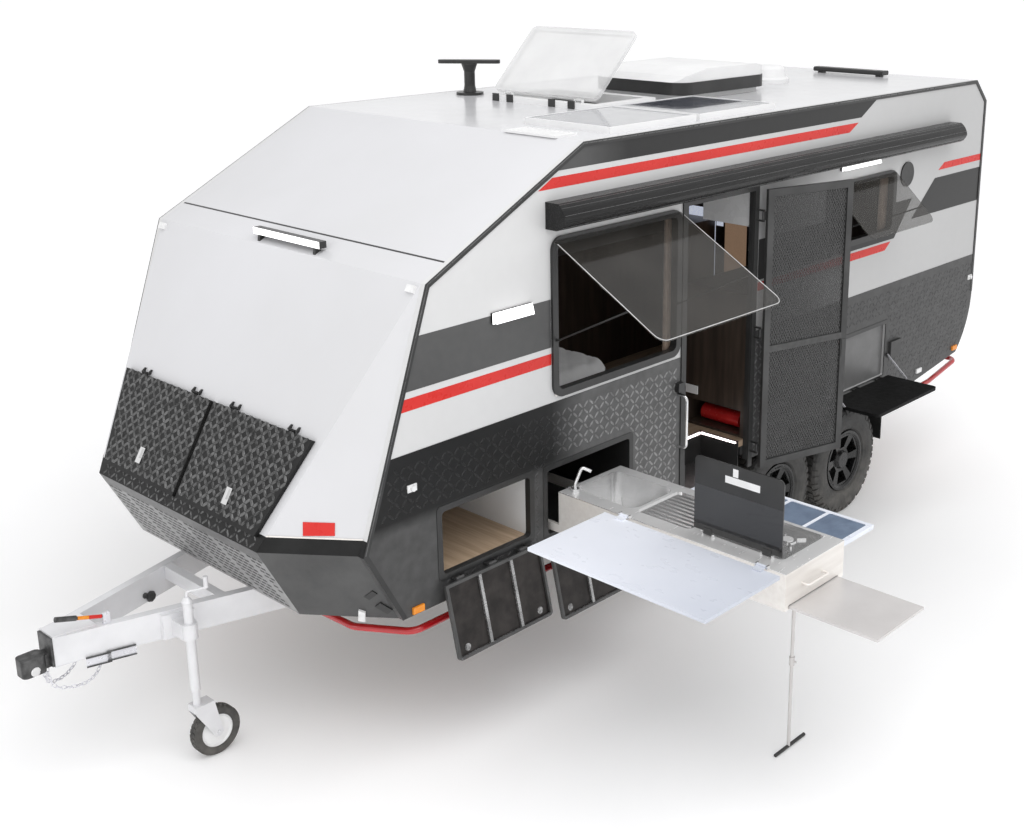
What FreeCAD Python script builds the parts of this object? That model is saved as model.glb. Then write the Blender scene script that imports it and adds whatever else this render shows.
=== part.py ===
"""Off-road caravan with a slide-out kitchen, standing on its wheels and its jockey wheel.

The caravan is drawn in trailer coordinates: X runs forward from the nose point of the side
walls, Y to the door side from the centre line, Z up from the ground. Every sub-part is then
placed so that the row's origin is the centre of the coupling's socket.
"""
import FreeCAD, Part
import Sketcher
import math
import os

Vector = FreeCAD.Vector
Rotation = FreeCAD.Rotation
Placement = FreeCAD.Placement

doc = FreeCAD.newDocument("offroad_caravan")


# Driving sizes in millimetres and degrees
SIZES = {
    "hitch_reach": 1085,
    "hitch_height": 660,
    "body_width": 2300,
    "wall": 30,
    "body_bottom": 790,
    "body_length": 5919,
    "roof_height": 2956,
    "nose_height": 1193,
    "nose_reach": 293,
    "nose_half_width": 729,
    "toe_setback": 212,
    "brow_setback": 434,
    "brow_height": 2414,
    "seam_setback": 581,
    "roof_setback": 1507,
    "tail_bevel_run": 172,
    "tail_bevel_drop": 162,
    "knee_height": 1330,
    "keel_run": 849,
    "sweep_end_run": 199,
    "sweep_end_height": 880,
    "sweep_radius": 640,
    "floor_height": 920,
    "floor_thickness": 40,
    "clad_height": 1625,
    "clad": 3,
    "trim_width": 26,
    "trim_proud": 6,
    "door_front": 2360,
    "door_rear": 3000,
    "door_sill": 740,
    "door_head": 2505,
    "door_frame": 42,
    "door_angle": 164,
    "locker_door": 18,
    "locker_angle": 167,
    "bay_front": 473,
    "bay_rear": 1082,
    "bay_bottom": 930,
    "bay_top": 1270,
    "galley_front": 1205,
    "galley_rear": 1870,
    "galley_bottom": 892,
    "galley_top": 1262,
    "liner": 9,
    "lip": 4,
    "window_front_a": 1256,
    "window_rear_a": 2300,
    "window_bottom_a": 1647,
    "window_top_a": 2500,
    "window_front_b": 3790,
    "window_rear_b": 4650,
    "window_bottom_b": 1985,
    "window_top_b": 2435,
    "window_frame": 40,
    "pane": 6,
    "pane_angle_a": 61,
    "pane_angle_b": 47,
    "table_front": 3860,
    "table_rear": 4650,
    "table_height": 945,
    "table_depth": 403,
    "table_thickness": 22,
    "arch_front": 3095,
    "arch_rear": 4590,
    "arch_top": 878,
    "front_axle": 3420,
    "rear_axle": 4265,
    "wheel_radius": 395,
    "wheel_width": 265,
    "wheel_track": 980,
    "rim_radius": 222,
    "rail_half_spacing": 520,
    "beam_height": 145,
    "beam_width": 50,
    "beam_apex_half": 66,
    "beam_slope": 0.3006,
    "jockey_x": 452,
    "jockey_y": 345,
    "jockey_trail": 85,
    "jockey_radius": 130,
    "jockey_width": 58,
    "bench_front": 1250,
    "bench_rear": 1745,
    "bench_in": 1195,
    "sink_length": 418,
    "drainer_length": 347,
    "hob_length": 505,
    "flap_length": 1075,
    "tray_length": 970,
    "bench_height": 1140,
    "bench_depth": 190,
    "sheet": 3,
    "flap_front": 665,
    "flap_rear": 1220,
    "lid_x": 1345,
    "lid_height": 385,
    "tray_reach": 285,
    "shelf_reach": 470,
    "shelf_front": 1285,
    "shelf_rear": 1695,
    "leg_x": 1580,
    "foot_front": 1465,
    "foot_rear": 1722,
    "awning_front": 1225,
    "awning_rear": 5385,
    "awning_bottom": 2548,
    "awning_size": 138,
    "hatch_front": 2520,
    "hatch_rear": 3020,
    "hatch_right": -530,
    "hatch_left": 305,
    "hatch_angle": 45,
    "running_gap": 0.3,
}

sheet = doc.addObject("Spreadsheet::Sheet", "Sizes")
for row, (alias, number) in enumerate(SIZES.items(), start=1):
    sheet.set(f"A{row}", alias)
    sheet.set(f"B{row}", str(number))
    sheet.setAlias(f"B{row}", alias)
doc.recompute()


class Size(float):
    """A number that carries the spreadsheet expression it was worked out from."""

    def __new__(cls, number, text):
        made = float.__new__(cls, number)
        made.text = text
        return made

    def joined(self, other, sign, number):
        text = other.text if isinstance(other, Size) else repr(float(other))
        return Size(number, f"({self.text} {sign} {text})")

    def __add__(self, other):
        return self.joined(other, "+", float(self) + float(other))

    def __sub__(self, other):
        return self.joined(other, "-", float(self) - float(other))

    def __mul__(self, other):
        return self.joined(other, "*", float(self) * float(other))

    def __truediv__(self, other):
        return self.joined(other, "/", float(self) / float(other))

    def __radd__(self, other):
        return Size(float(other) + float(self), f"({float(other)!r} + {self.text})")

    def __rsub__(self, other):
        return Size(float(other) - float(self), f"({float(other)!r} - {self.text})")

    def __rmul__(self, other):
        return Size(float(other) * float(self), f"({float(other)!r} * {self.text})")

    def __neg__(self):
        return Size(-float(self), f"(0 - {self.text})")


def size(alias):
    return Size(sheet.get(alias), f"Sizes.{alias}")


# Names used all over the model
HALF = size("body_width") / 2
WALL = size("wall")
INNER = HALF - WALL
BOTTOM = size("body_bottom")
ROOF = size("roof_height")
LENGTH = size("body_length")
FLOOR = size("floor_height")
CLAD = size("clad")
SHEET = size("sheet")
GAP = size("running_gap")


def bind(obj, prop, number):
    """Gives a property its value, by expression where the value comes from the sheet."""
    if isinstance(number, Size):
        obj.setExpression(prop, number.text)
    else:
        setattr(obj, prop, float(number))


def put(obj, x, y, z, rotation=None):
    """Places an object with its base bound to the sheet."""
    obj.Placement = Placement(Vector(float(x), float(y), float(z)), rotation or Rotation())
    for axis, number in (("x", x), ("y", y), ("z", z)):
        if isinstance(number, Size):
            obj.setExpression(f"Placement.Base.{axis}", number.text)
    return obj


counter = {}


def fresh(stem):
    counter[stem] = counter.get(stem, 0) + 1
    return f"{stem}_{counter[stem]}"


def box(x0, x1, y0, y1, z0, z1):
    """A block between two corners."""
    made = doc.addObject("Part::Box", fresh("block"))
    bind(made, "Length", x1 - x0)
    bind(made, "Width", y1 - y0)
    bind(made, "Height", z1 - z0)
    return put(made, x0, y0, z0)


TURN = {
    "X": Rotation(Vector(0, 1, 0), 90),
    "Y": Rotation(Vector(1, 0, 0), -90),
    "Z": Rotation(),
}


def rod(axis, x, y, z, radius, length):
    """A round bar that starts at a point and runs along a positive axis."""
    made = doc.addObject("Part::Cylinder", fresh("rod"))
    bind(made, "Radius", radius)
    bind(made, "Height", length)
    return put(made, x, y, z, TURN[axis])


def cone(axis, x, y, z, radius, end_radius, length):
    made = doc.addObject("Part::Cone", fresh("taper"))
    bind(made, "Radius1", radius)
    bind(made, "Radius2", end_radius)
    bind(made, "Height", length)
    return put(made, x, y, z, TURN[axis])


def fuse(*pieces):
    made = doc.addObject("Part::MultiFuse", fresh("joined"))
    made.Shapes = list(pieces)
    return made


def cut(base, *tools):
    made = doc.addObject("Part::Cut", fresh("cut"))
    made.Base = base
    made.Tool = tools[0] if len(tools) == 1 else fuse(*tools)
    return made


def common(base, tool):
    made = doc.addObject("Part::Common", fresh("shared"))
    made.Base = base
    made.Tool = tool
    return made


def mirrored(source, normal=(0, 1, 0), base=(0, 0, 0)):
    made = doc.addObject("Part::Mirroring", fresh("mirrored"))
    made.Source = source
    made.Normal = Vector(*normal)
    made.Base = Vector(*base)
    return made


def moved(source, x=0, y=0, z=0, rotation=None):
    """A copy of an object at another place."""
    made = doc.addObject("Part::Compound", fresh("moved"))
    made.Links = [source]
    return put(made, x, y, z, rotation)


def solid_of(shape, stem="formed"):
    made = doc.addObject("Part::Feature", fresh(stem))
    made.Shape = shape
    return made


PLANES = {
    "XZ": Rotation(Vector(1, 0, 0), 90),
    "YZ": Rotation(Vector(1, 1, 1), 120),
    "XY": Rotation(),
}
OUT_OF = {"XZ": Vector(0, 1, 0), "YZ": Vector(1, 0, 0), "XY": Vector(0, 0, 1)}


def arc_through(start, end, radius):
    """The short arc between two points, bulging left of the way for a positive radius."""
    chord = end - start
    half = chord.Length / 2
    reach = abs(float(radius))
    height = math.sqrt(reach ** 2 - half ** 2)
    left = Vector(-chord.y, chord.x, 0).normalize()
    side = 1 if radius > 0 else -1
    centre = (start + end) / 2 - left * (side * height)
    return centre, Part.Arc(start, centre + left * (side * reach), end)


def outline(plane, offset, points):
    """A closed sketch through points; a third number makes the side that arrives an arc."""
    sketch = doc.addObject("Sketcher::SketchObject", fresh("outline"))
    count = len(points)
    spots = [Vector(float(p[0]), float(p[1]), 0) for p in points]
    for index in range(count):
        after = (index + 1) % count
        if len(points[after]) > 2:
            arc = arc_through(spots[index], spots[after], points[after][2])[1]
            sketch.addGeometry(arc)
        else:
            sketch.addGeometry(Part.LineSegment(spots[index], spots[after]))
    flips = []
    for index in range(count):
        geometry = sketch.Geometry[index]
        forward = (geometry.StartPoint - spots[index]).Length < 0.01
        flips.append(not forward)
    for index in range(count):
        after = (index + 1) % count
        ends = (1 if flips[index] else 2, 2 if flips[after] else 1)
        sketch.addConstraint(Sketcher.Constraint("Coincident", index, ends[0], after, ends[1]))
        if len(points[after]) > 2:
            radius = points[after][2]
            held = sketch.addConstraint(
                Sketcher.Constraint("Radius", index, abs(float(radius))))
            if isinstance(radius, Size):
                text = radius.text if radius > 0 else f"(0 - {radius.text})"
                sketch.setExpression(f"Constraints[{held}]", text)
    for index, point in enumerate(points):
        place = 2 if flips[index] else 1
        for kind, number in (("DistanceX", point[0]), ("DistanceY", point[1])):
            held = sketch.addConstraint(
                Sketcher.Constraint(kind, -1, 1, index, place, float(number)))
            if isinstance(number, Size):
                sketch.setExpression(f"Constraints[{held}]", number.text)
    if plane == "XZ":
        put(sketch, 0, offset, 0, PLANES[plane])
    elif plane == "YZ":
        put(sketch, offset, 0, 0, PLANES[plane])
    else:
        put(sketch, 0, 0, offset, PLANES[plane])
    return sketch


def prism(plane, offset, depth, points):
    """An outline pushed out of its plane, towards the positive axis."""
    made = doc.addObject("Part::Extrusion", fresh("prism"))
    made.Base = outline(plane, offset, points)
    made.DirMode = "Custom"
    made.Dir = OUT_OF[plane]
    made.Solid = True
    bind(made, "LengthFwd", depth)
    return made


def turned(axis, points, centre=(0, 0, 0)):
    """A profile of (along, radius) pairs revolved about an axis."""
    made = doc.addObject("Part::Revolution", fresh("turned"))
    if axis == "Y":
        made.Source = outline("YZ", centre[0], [(along + centre[1], radius + centre[2], *more)
                                                for along, radius, *more in points])
        made.Axis = Vector(0, 1, 0)
    elif axis == "X":
        made.Source = outline("XZ", centre[1], [(along + centre[0], radius + centre[2], *more)
                                                for along, radius, *more in points])
        made.Axis = Vector(1, 0, 0)
    else:
        made.Source = outline("XZ", centre[1], [(radius + centre[0], along + centre[2], *more)
                                                for along, radius, *more in points])
        made.Axis = Vector(0, 0, 1)
    made.Base = Vector(*[float(c) for c in centre])
    made.Angle = 360
    made.Solid = True
    return made


def rounded(source, radius, direction, pick=None):
    """Rounds the edges of an object that run along one direction."""
    doc.recompute()
    made = doc.addObject("Part::Fillet", fresh("rounded"))
    made.Base = source
    along = Vector(*direction)
    chosen = []
    for index, edge in enumerate(source.Shape.Edges, start=1):
        if not isinstance(edge.Curve, Part.Line):
            continue
        if abs(edge.Curve.Direction.dot(along)) < 0.999:
            continue
        if pick and not pick(edge.CenterOfMass):
            continue
        chosen.append((index, float(radius), float(radius)))
    made.Edges = chosen
    return made


def tube_path(points, radius, bend):
    """A round bar along straight runs joined by tangent arcs."""
    spots = [Vector(*[float(c) for c in point]) for point in points]
    edges = []
    start = spots[0]
    for index in range(1, len(spots) - 1):
        back = (spots[index - 1] - spots[index]).normalize()
        ahead = (spots[index + 1] - spots[index]).normalize()
        turn = math.pi - back.getAngle(ahead)
        reach = bend * math.tan(turn / 2)
        first = spots[index] + back * reach
        last = spots[index] + ahead * reach
        inward = (back + ahead).normalize()
        middle = spots[index] + inward * (bend / math.cos(turn / 2) - bend)
        edges.append(Part.LineSegment(start, first).toShape())
        edges.append(Part.Arc(first, middle, last).toShape())
        start = last
    edges.append(Part.LineSegment(start, spots[-1]).toShape())
    path = Part.Wire(edges)
    ring = Part.Wire(Part.makeCircle(radius, spots[0], spots[1] - spots[0]))
    return solid_of(path.makePipeShell([ring], True, False), "tube")


def strut(start, end, radius):
    """A round bar from point to point."""
    first = Vector(*[float(c) for c in start])
    way = Vector(*[float(c) for c in end]) - first
    made = doc.addObject("Part::Cylinder", fresh("strut"))
    bind(made, "Radius", radius)
    made.Height = way.Length
    made.Placement = Placement(first, Rotation(Vector(0, 0, 1), way))
    return made


def swung(piece, pivot, axis, angle):
    """A piece turned about a hinge line."""
    made = doc.addObject("Part::Compound", fresh("swung"))
    made.Links = [piece]
    made.Placement = Placement(Vector(), Rotation(Vector(*axis), float(angle)),
                               Vector(*[float(c) for c in pivot]))
    return made


published = []


def publish(label, *pieces, at=None, rotation=None):
    """Makes a named sub-part of some pieces, placed from the coupling's socket."""
    x, y, z = at or (0, 0, 0)
    made = doc.addObject("Part::Compound", label)
    made.Label = label
    made.Links = list(pieces)
    put(made, x - size("hitch_reach"), y, z - size("hitch_height"), rotation)
    published.append(made)
    return made



# Body shell

TAIL_TOP = ROOF - size("tail_bevel_drop")
BODY_PROFILE = [
    (-size("toe_setback"), BOTTOM),
    (0, size("nose_height")),
    (-size("brow_setback"), size("brow_height")),
    (-size("roof_setback"), ROOF),
    (size("tail_bevel_run") - LENGTH, ROOF),
    (-LENGTH, TAIL_TOP),
    (-LENGTH, size("knee_height")),
    (size("sweep_end_run") - LENGTH, size("sweep_end_height"), -size("sweep_radius")),
    (size("keel_run") - LENGTH, BOTTOM),
]


def wall_blank(start, depth):
    return prism("XZ", start, depth, BODY_PROFILE)


def opening(x_front, x_rear, z0, z1, radius, y0=None, y1=None):
    """A rounded cutter through a side wall between two distances behind the nose."""
    low = INNER - 40 if y0 is None else y0
    high = HALF + 40 if y1 is None else y1
    block = box(-x_rear, -x_front, low, high, z0, z1)
    return rounded(block, radius, (0, 1, 0)) if radius else block


def arch_cutter():
    """The tandem wheel arch, with sloping ends."""
    slope = 95
    return prism("XZ", INNER - 60, WALL + 120, [
        (-size("arch_front"), BOTTOM - 40),
        (-size("arch_front") - slope, size("arch_top")),
        (slope - size("arch_rear"), size("arch_top")),
        (-size("arch_rear"), BOTTOM - 40),
    ])


FRAME = size("window_frame")
FLANGE = 28
DOOR_FRAME = size("door_frame")
LOCKER_CORNER = 25
WINDOW_CORNER = 70


def window_area(letter, margin, radius, y0=None, y1=None):
    """The outline of a window's frame, drawn in by a margin."""
    return opening(size(f"window_front_{letter}") + margin, size(f"window_rear_{letter}") - margin,
                   size(f"window_bottom_{letter}") + margin, size(f"window_top_{letter}") - margin,
                   radius, y0, y1)


def locker_area(name, margin, radius, y0=None, y1=None):
    """The outline of a side locker's opening, let out by a margin."""
    return opening(size(f"{name}_front") - margin, size(f"{name}_rear") + margin,
                   size(f"{name}_bottom") - margin, size(f"{name}_top") + margin, radius, y0, y1)


def door_area(margin, y0=None, y1=None):
    """The outline of the doorway, let out by a margin; its foot runs out under the wall."""
    return opening(size("door_front") - margin, size("door_rear") + margin,
                   size("door_sill") - 60, size("door_head") + margin, 0, y0, y1)


def table_area(margin, y0=None, y1=None):
    """The outline of the recess behind the folding table, let out by a margin."""
    return opening(size("table_front") + 20 - margin, size("table_rear") - 20 + margin,
                   size("table_height") + 14 - margin,
                   size("table_height") + size("table_depth") - 10 + margin, 12, y0, y1)


RECESS = 16


def left_side(blank):
    """Cuts the door side's openings."""
    return cut(blank, window_area("a", FRAME / 2, WINDOW_CORNER - 15),
               window_area("b", FRAME / 2, WINDOW_CORNER - 15), door_area(0),
               locker_area("bay", 0, LOCKER_CORNER), locker_area("galley", 0, LOCKER_CORNER),
               table_area(0, HALF - RECESS), arch_cutter())


def right_side(blank):
    """Cuts the off side's openings, drawn on the door side and mirrored."""
    return mirrored(cut(blank, window_area("a", FRAME / 2, WINDOW_CORNER - 15),
                        window_area("b", FRAME / 2, WINDOW_CORNER - 15),
                        locker_area("bay", 0, LOCKER_CORNER), arch_cutter()))


def inset(points, distance):
    """The corner points of an open outline moved inwards, to the left of the way."""
    spots = [Vector(float(x), float(z), 0) for x, z in points]
    lines = []
    for start, end in zip(spots, spots[1:]):
        way = (end - start).normalize()
        lines.append((start + Vector(-way.y, way.x, 0) * distance, way))
    made = [lines[0][0]]
    for (base_a, way_a), (base_b, way_b) in zip(lines, lines[1:]):
        cross = way_a.x * way_b.y - way_a.y * way_b.x
        gap = base_b - base_a
        reach = (gap.x * way_b.y - gap.y * way_b.x) / cross
        made.append(base_a + way_a * reach)
    last_base, last_way = lines[-1]
    made.append(last_base + last_way * (spots[-1] - spots[-2]).Length)
    return [(spot.x, spot.y) for spot in made]


TRIM_LINE = [point[:2] for point in BODY_PROFILE[:7]]


def edge_trim(start, depth):
    """The angle strip along the upper edge of a side wall, from the toe over the roof to the knee."""
    within = inset(TRIM_LINE, float(size("trim_width")))
    return prism("XZ", start, depth, TRIM_LINE + within[::-1])


def clad_sheet():
    """The chequered sheet below the waist, cut back to the edge trim."""
    band = box(-LENGTH - 60, size("nose_reach") + 60, HALF - 1, HALF + CLAD + 1,
               BOTTOM - 20, size("clad_height"))
    return cut(common(wall_blank(HALF, CLAD), band), edge_trim(HALF - 2, CLAD + 4), arch_cutter(),
               locker_area("bay", FLANGE, LOCKER_CORNER))


def left_cladding():
    return cut(clad_sheet(), door_area(DOOR_FRAME), locker_area("galley", FLANGE, LOCKER_CORNER),
               table_area(FLANGE))


publish("left_wall", left_side(wall_blank(INNER, WALL)))
publish("right_wall", right_side(wall_blank(INNER, WALL)))
publish("side_cladding", left_cladding(), mirrored(clad_sheet()))
trim = edge_trim(HALF, size("trim_proud"))
publish("edge_trims", trim, mirrored(trim))

SEAM = (-size("seam_setback"),
        size("brow_height") + (size("seam_setback") - size("brow_setback")) * (ROOF - size("brow_height"))
        / (size("roof_setback") - size("brow_setback")))
SKIN = [SEAM] + [point[:2] for point in BODY_PROFILE[3:7]]
SKIN_INNER = inset(SKIN, float(WALL))


def skin_panel(index):
    """One flat panel of roof or rear wall between the side walls, with mitred ends."""
    outer_a, outer_b = SKIN[index], SKIN[index + 1]
    inner_a, inner_b = SKIN_INNER[index], SKIN_INNER[index + 1]
    return prism("XZ", -INNER, INNER * 2, [outer_a, outer_b, inner_b, inner_a])


def hatch_hole():
    return box(-size("hatch_rear"), -size("hatch_front"), size("hatch_right"), size("hatch_left"),
               ROOF - WALL - 30, ROOF + 30)


publish("roof_front_panel", skin_panel(0))
publish("roof_panel", cut(skin_panel(1), hatch_hole()))
publish("rear_wall", fuse(skin_panel(2), skin_panel(3)))


def polyhedron(corners, faces):
    shells = []
    for face in faces:
        ring = [corners[name] for name in face]
        shells.append(Part.Face(Part.makePolygon(ring + ring[:1])))
    return Part.Solid(Part.makeShell(shells))


def nose_solid():
    """The closed form behind the nose panel: brow strip, front face and two side facets."""
    corners = {}
    seam_x, seam_z = (float(c) for c in SEAM)
    for side, sign in (("l", 1), ("r", -1)):
        y = sign * float(INNER)
        corners["s" + side] = Vector(seam_x, y, seam_z)
        corners["b" + side] = Vector(-float(size("brow_setback")), y, float(size("brow_height")))
        corners["n" + side] = Vector(float(size("nose_reach")), sign * float(size("nose_half_width")),
                                     float(size("nose_height")))
        corners["c" + side] = Vector(0, y, float(size("nose_height")))
        corners["k" + side] = Vector(seam_x, y, float(size("nose_height")))
    return polyhedron(corners, [
        ("sl", "bl", "br", "sr"),
        ("bl", "nl", "nr", "br"),
        ("bl", "cl", "nl"),
        ("br", "nr", "cr"),
        ("sl", "kl", "cl", "bl"),
        ("sr", "br", "cr", "kr"),
        ("kl", "kr", "cr", "nr", "nl", "cl"),
        ("sl", "sr", "kr", "kl"),
    ])


PANEL_SHIFT = Vector(-30, 0, -12)


def nose_panel():
    outer = nose_solid()
    inner = nose_solid()
    inner.translate(PANEL_SHIFT)
    return outer.cut(inner)


def front_point(run, y):
    """A point on the front face, a distance down the slope from the brow."""
    top = Vector(-float(size("brow_setback")), y, float(size("brow_height")))
    foot = Vector(float(size("nose_reach")), y, float(size("nose_height")))
    return top + (foot - top).normalize() * run


SLOPE_RUN = math.hypot(float(size("nose_reach") + size("brow_setback")),
                       float(size("brow_height") - size("nose_height")))
SLOPE_NORMAL = Vector(float(size("brow_height") - size("nose_height")), 0,
                      float(size("nose_reach") + size("brow_setback"))).normalize()
HATCH_TOP_RUN = SLOPE_RUN - 585
HATCH_FOOT_RUN = SLOPE_RUN - 65
FOLD_SLOPE = float(INNER - size("nose_half_width")) / SLOPE_RUN


def front_width(run):
    return float(INNER) - FOLD_SLOPE * run


def front_plate(top_run, foot_run, margin, y_inner, low, high):
    """A plate on the left half of the front face, between two heights above it."""
    ring = [
        front_point(top_run, y_inner),
        front_point(top_run, front_width(top_run) - margin),
        front_point(foot_run, front_width(foot_run) - margin),
        front_point(foot_run, y_inner),
    ]
    ring = [point + SLOPE_NORMAL * low for point in ring]
    return Part.Face(Part.makePolygon(ring + ring[:1])).extrude(SLOPE_NORMAL * (high - low))


HATCH_LOW = 3
HATCH_HIGH = 24
FRONT_MARGIN = 50
FRONT_OPENING = 30
boot_hole_left = front_plate(HATCH_TOP_RUN + FRONT_OPENING, HATCH_FOOT_RUN - FRONT_OPENING,
                             FRONT_MARGIN + FRONT_OPENING, 14 + FRONT_OPENING, -80, 20)
boot_hole_right = boot_hole_left.mirror(Vector(0, 0, 0), Vector(0, 1, 0))
publish("nose_panel", solid_of(nose_panel().cut(boot_hole_left).cut(boot_hole_right)))



def skirt_prism(shift):
    """The closed form of the chin below the nose line, raked back towards its foot."""
    reach, half, top = (float(size(a)) for a in ("nose_reach", "nose_half_width", "nose_height"))
    wide = float(INNER)
    back = -float(size("seam_setback"))
    ring = [Vector(back, wide, top), Vector(0, wide, top), Vector(reach, half, top),
            Vector(reach, -half, top), Vector(0, -wide, top), Vector(back, -wide, top)]
    ring = [spot + Vector(shift, 0, 0) for spot in ring]
    fall = Vector(-float(size("toe_setback")), 0, float(BOTTOM) - top)
    return Part.Face(Part.makePolygon(ring + ring[:1])).extrude(fall)


def chin():
    thickness = 8
    behind = Part.makeBox(3000, 4000, 3000, Vector(-3000 - float(size("toe_setback")), -2000, 0))
    return skirt_prism(0).cut(skirt_prism(-thickness)).cut(behind)


def rear_skirt():
    """The curved lower rear between the side walls, a bent plate."""
    plate = 6
    knee = Vector(-float(LENGTH), float(size("knee_height")), 0)
    sweep = Vector(float(size("sweep_end_run") - LENGTH), float(size("sweep_end_height")), 0)
    centre, outer = arc_through(knee, sweep, -float(size("sweep_radius")))
    radius = float(size("sweep_radius"))
    shrink = (radius - plate) / radius
    inner = [centre + (spot - centre) * shrink for spot in (knee, sweep)]
    middle = centre + ((knee + sweep) / 2 - centre).normalize() * (radius - plate)
    ring = Part.Wire([
        outer.toShape(),
        Part.LineSegment(sweep, inner[1]).toShape(),
        Part.Arc(inner[1], middle, inner[0]).toShape(),
        Part.LineSegment(inner[0], knee).toShape(),
    ])
    face = Part.Face(ring)
    face.rotate(Vector(0, 0, 0), Vector(1, 0, 0), 90)
    face.translate(Vector(0, -float(INNER), 0))
    above = Part.makeBox(600, 4000, 600, Vector(-float(LENGTH) - 300, -2000, float(size("knee_height"))))
    return face.extrude(Vector(0, 2 * float(INNER), 0)).cut(above)


publish("skirts", solid_of(chin()), solid_of(rear_skirt()))


# Floor, chassis and running gear

STEP_IN = 820
STEP_TREAD = size("door_sill") - 10
GALLEY_END = -330


def cabin_floor():
    """The floor between the walls, shaped to the nose, with the step well and the galley cut out."""
    low = FLOOR - size("floor_thickness")
    side = size("toe_setback") - 387
    tip = size("nose_reach") + side
    tail = size("sweep_end_run") + 20 - LENGTH
    slab = prism("XY", low, size("floor_thickness"), [
        (tail, -INNER),
        (side, -INNER),
        (tip, -size("nose_half_width")),
        (tip, size("nose_half_width")),
        (side, INNER),
        (tail, INNER),
    ])
    well = box(-size("door_rear") + 49, -size("door_front") - 49, STEP_IN, INNER + 1,
               low - 5, FLOOR + 5)
    galley = box(-size("galley_rear") - size("liner") + size("lip"),
                 -size("galley_front") + size("liner") - size("lip"),
                 GALLEY_END, INNER + 1, low - 5, FLOOR + 5)
    return cut(slab, well, galley)


def step_well():
    """The entry step: tread, riser and two cheeks hung under the floor."""
    plate = 6
    x0 = -size("door_rear") + 50
    x1 = -size("door_front") - 50
    tread = box(x0, x1, STEP_IN, INNER, STEP_TREAD - plate, STEP_TREAD)
    riser = box(x0, x1, STEP_IN, STEP_IN + plate, STEP_TREAD - 1, FLOOR)
    cheek_a = box(x0, x0 + plate, STEP_IN, INNER, STEP_TREAD - 1, FLOOR)
    cheek_b = box(x1 - plate, x1, STEP_IN, INNER, STEP_TREAD - 1, FLOOR)
    return fuse(tread, riser, cheek_a, cheek_b)


publish("cabin_floor", cabin_floor(), step_well())

BEAM_TOP = BOTTOM
BEAM_BOTTOM = BEAM_TOP - size("beam_height")
SLOPE = size("beam_slope")
APEX_X = 985
NECK_X = -500
HEAD_PLATE = 11


def beam_outer(x):
    """Half the width across the drawbar's outer faces at a place along it."""
    return size("beam_apex_half") + (APEX_X - x) * SLOPE


def drawbar():
    """Two beams that meet at the coupling, tied by cross-members and a head plate."""
    width = size("beam_width")
    front = APEX_X
    beam = prism("XY", BEAM_BOTTOM, size("beam_height"), [
        (front, beam_outer(front)),
        (NECK_X, beam_outer(NECK_X)),
        (NECK_X, beam_outer(NECK_X) - width),
        (front, beam_outer(front) - width),
    ])
    pieces = [beam, mirrored(beam)]
    for x in (215, -90):
        reach = beam_outer(x) - width / 2
        pieces.append(box(x - 25, x + 25, -reach, reach,
                          BEAM_TOP - 75, BEAM_TOP - 2))
    gusset_reach = beam_outer(APEX_X - 190) - width / 2
    for z in (BEAM_TOP - 1, BEAM_BOTTOM - 9):
        pieces.append(prism("XY", z, 10, [
            (front, beam_outer(front) - 4),
            (APEX_X - 190, gusset_reach),
            (APEX_X - 190, -gusset_reach),
            (front, 4 - beam_outer(front)),
        ]))
    pieces.append(box(front - 1, front + HEAD_PLATE, -beam_outer(front), beam_outer(front),
                      BEAM_BOTTOM - 9, BEAM_TOP + 9))
    return fuse(*pieces)


publish("drawbar", drawbar())

OUTRIGGER = 60
RAIL_END = size("keel_run") - LENGTH - 330


def chassis():
    """Two main rails with raisers, cross-members under the floor and the recovery plates."""
    spread = size("rail_half_spacing")
    width = size("beam_width")
    pieces = []
    top = FLOOR - size("floor_thickness")
    for sign in (1, -1):
        y0 = spread if sign > 0 else -spread - width
        pieces.append(box(RAIL_END, NECK_X - 30, y0, y0 + width, BEAM_BOTTOM, top))
    pieces.append(box(NECK_X - 31, NECK_X, -spread - width, spread + width, BEAM_BOTTOM, BEAM_TOP))
    for x in (-1150, -2000, -size("door_front"), -size("door_rear"), -size("front_axle") - 422,
              -size("rear_axle") - 435, 619 - LENGTH):
        pieces.append(box(x - 25, x + 25, 2 - INNER, INNER - 2, top - OUTRIGGER, top))
    for axle in (size("front_axle"), size("rear_axle")):
        pieces.append(box(-axle - 80, 80 - axle, 2 - INNER, INNER - 2, top - OUTRIGGER, top))
    return fuse(*pieces)


def recovery_plates():
    plate = 16
    made = []
    for sign in (1, -1):
        y0 = size("rail_half_spacing") * sign + (size("beam_width") if sign > 0 else -size("beam_width") - plate)
        blank = box(RAIL_END - 75, RAIL_END + 90, y0, y0 + plate, BEAM_BOTTOM - 34, BEAM_BOTTOM + 60)
        eye = rod("Y", RAIL_END - 38, y0 - 5, BEAM_BOTTOM + 2, 13, plate + 10)
        made.append(cut(rounded(blank, 24, (0, 1, 0)), eye))
    return made


publish("chassis", fuse(chassis(), *recovery_plates()))

ARM_PIVOT_BACK = 430
HUB_BORE = 36
HUB_BLIND = -10


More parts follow.
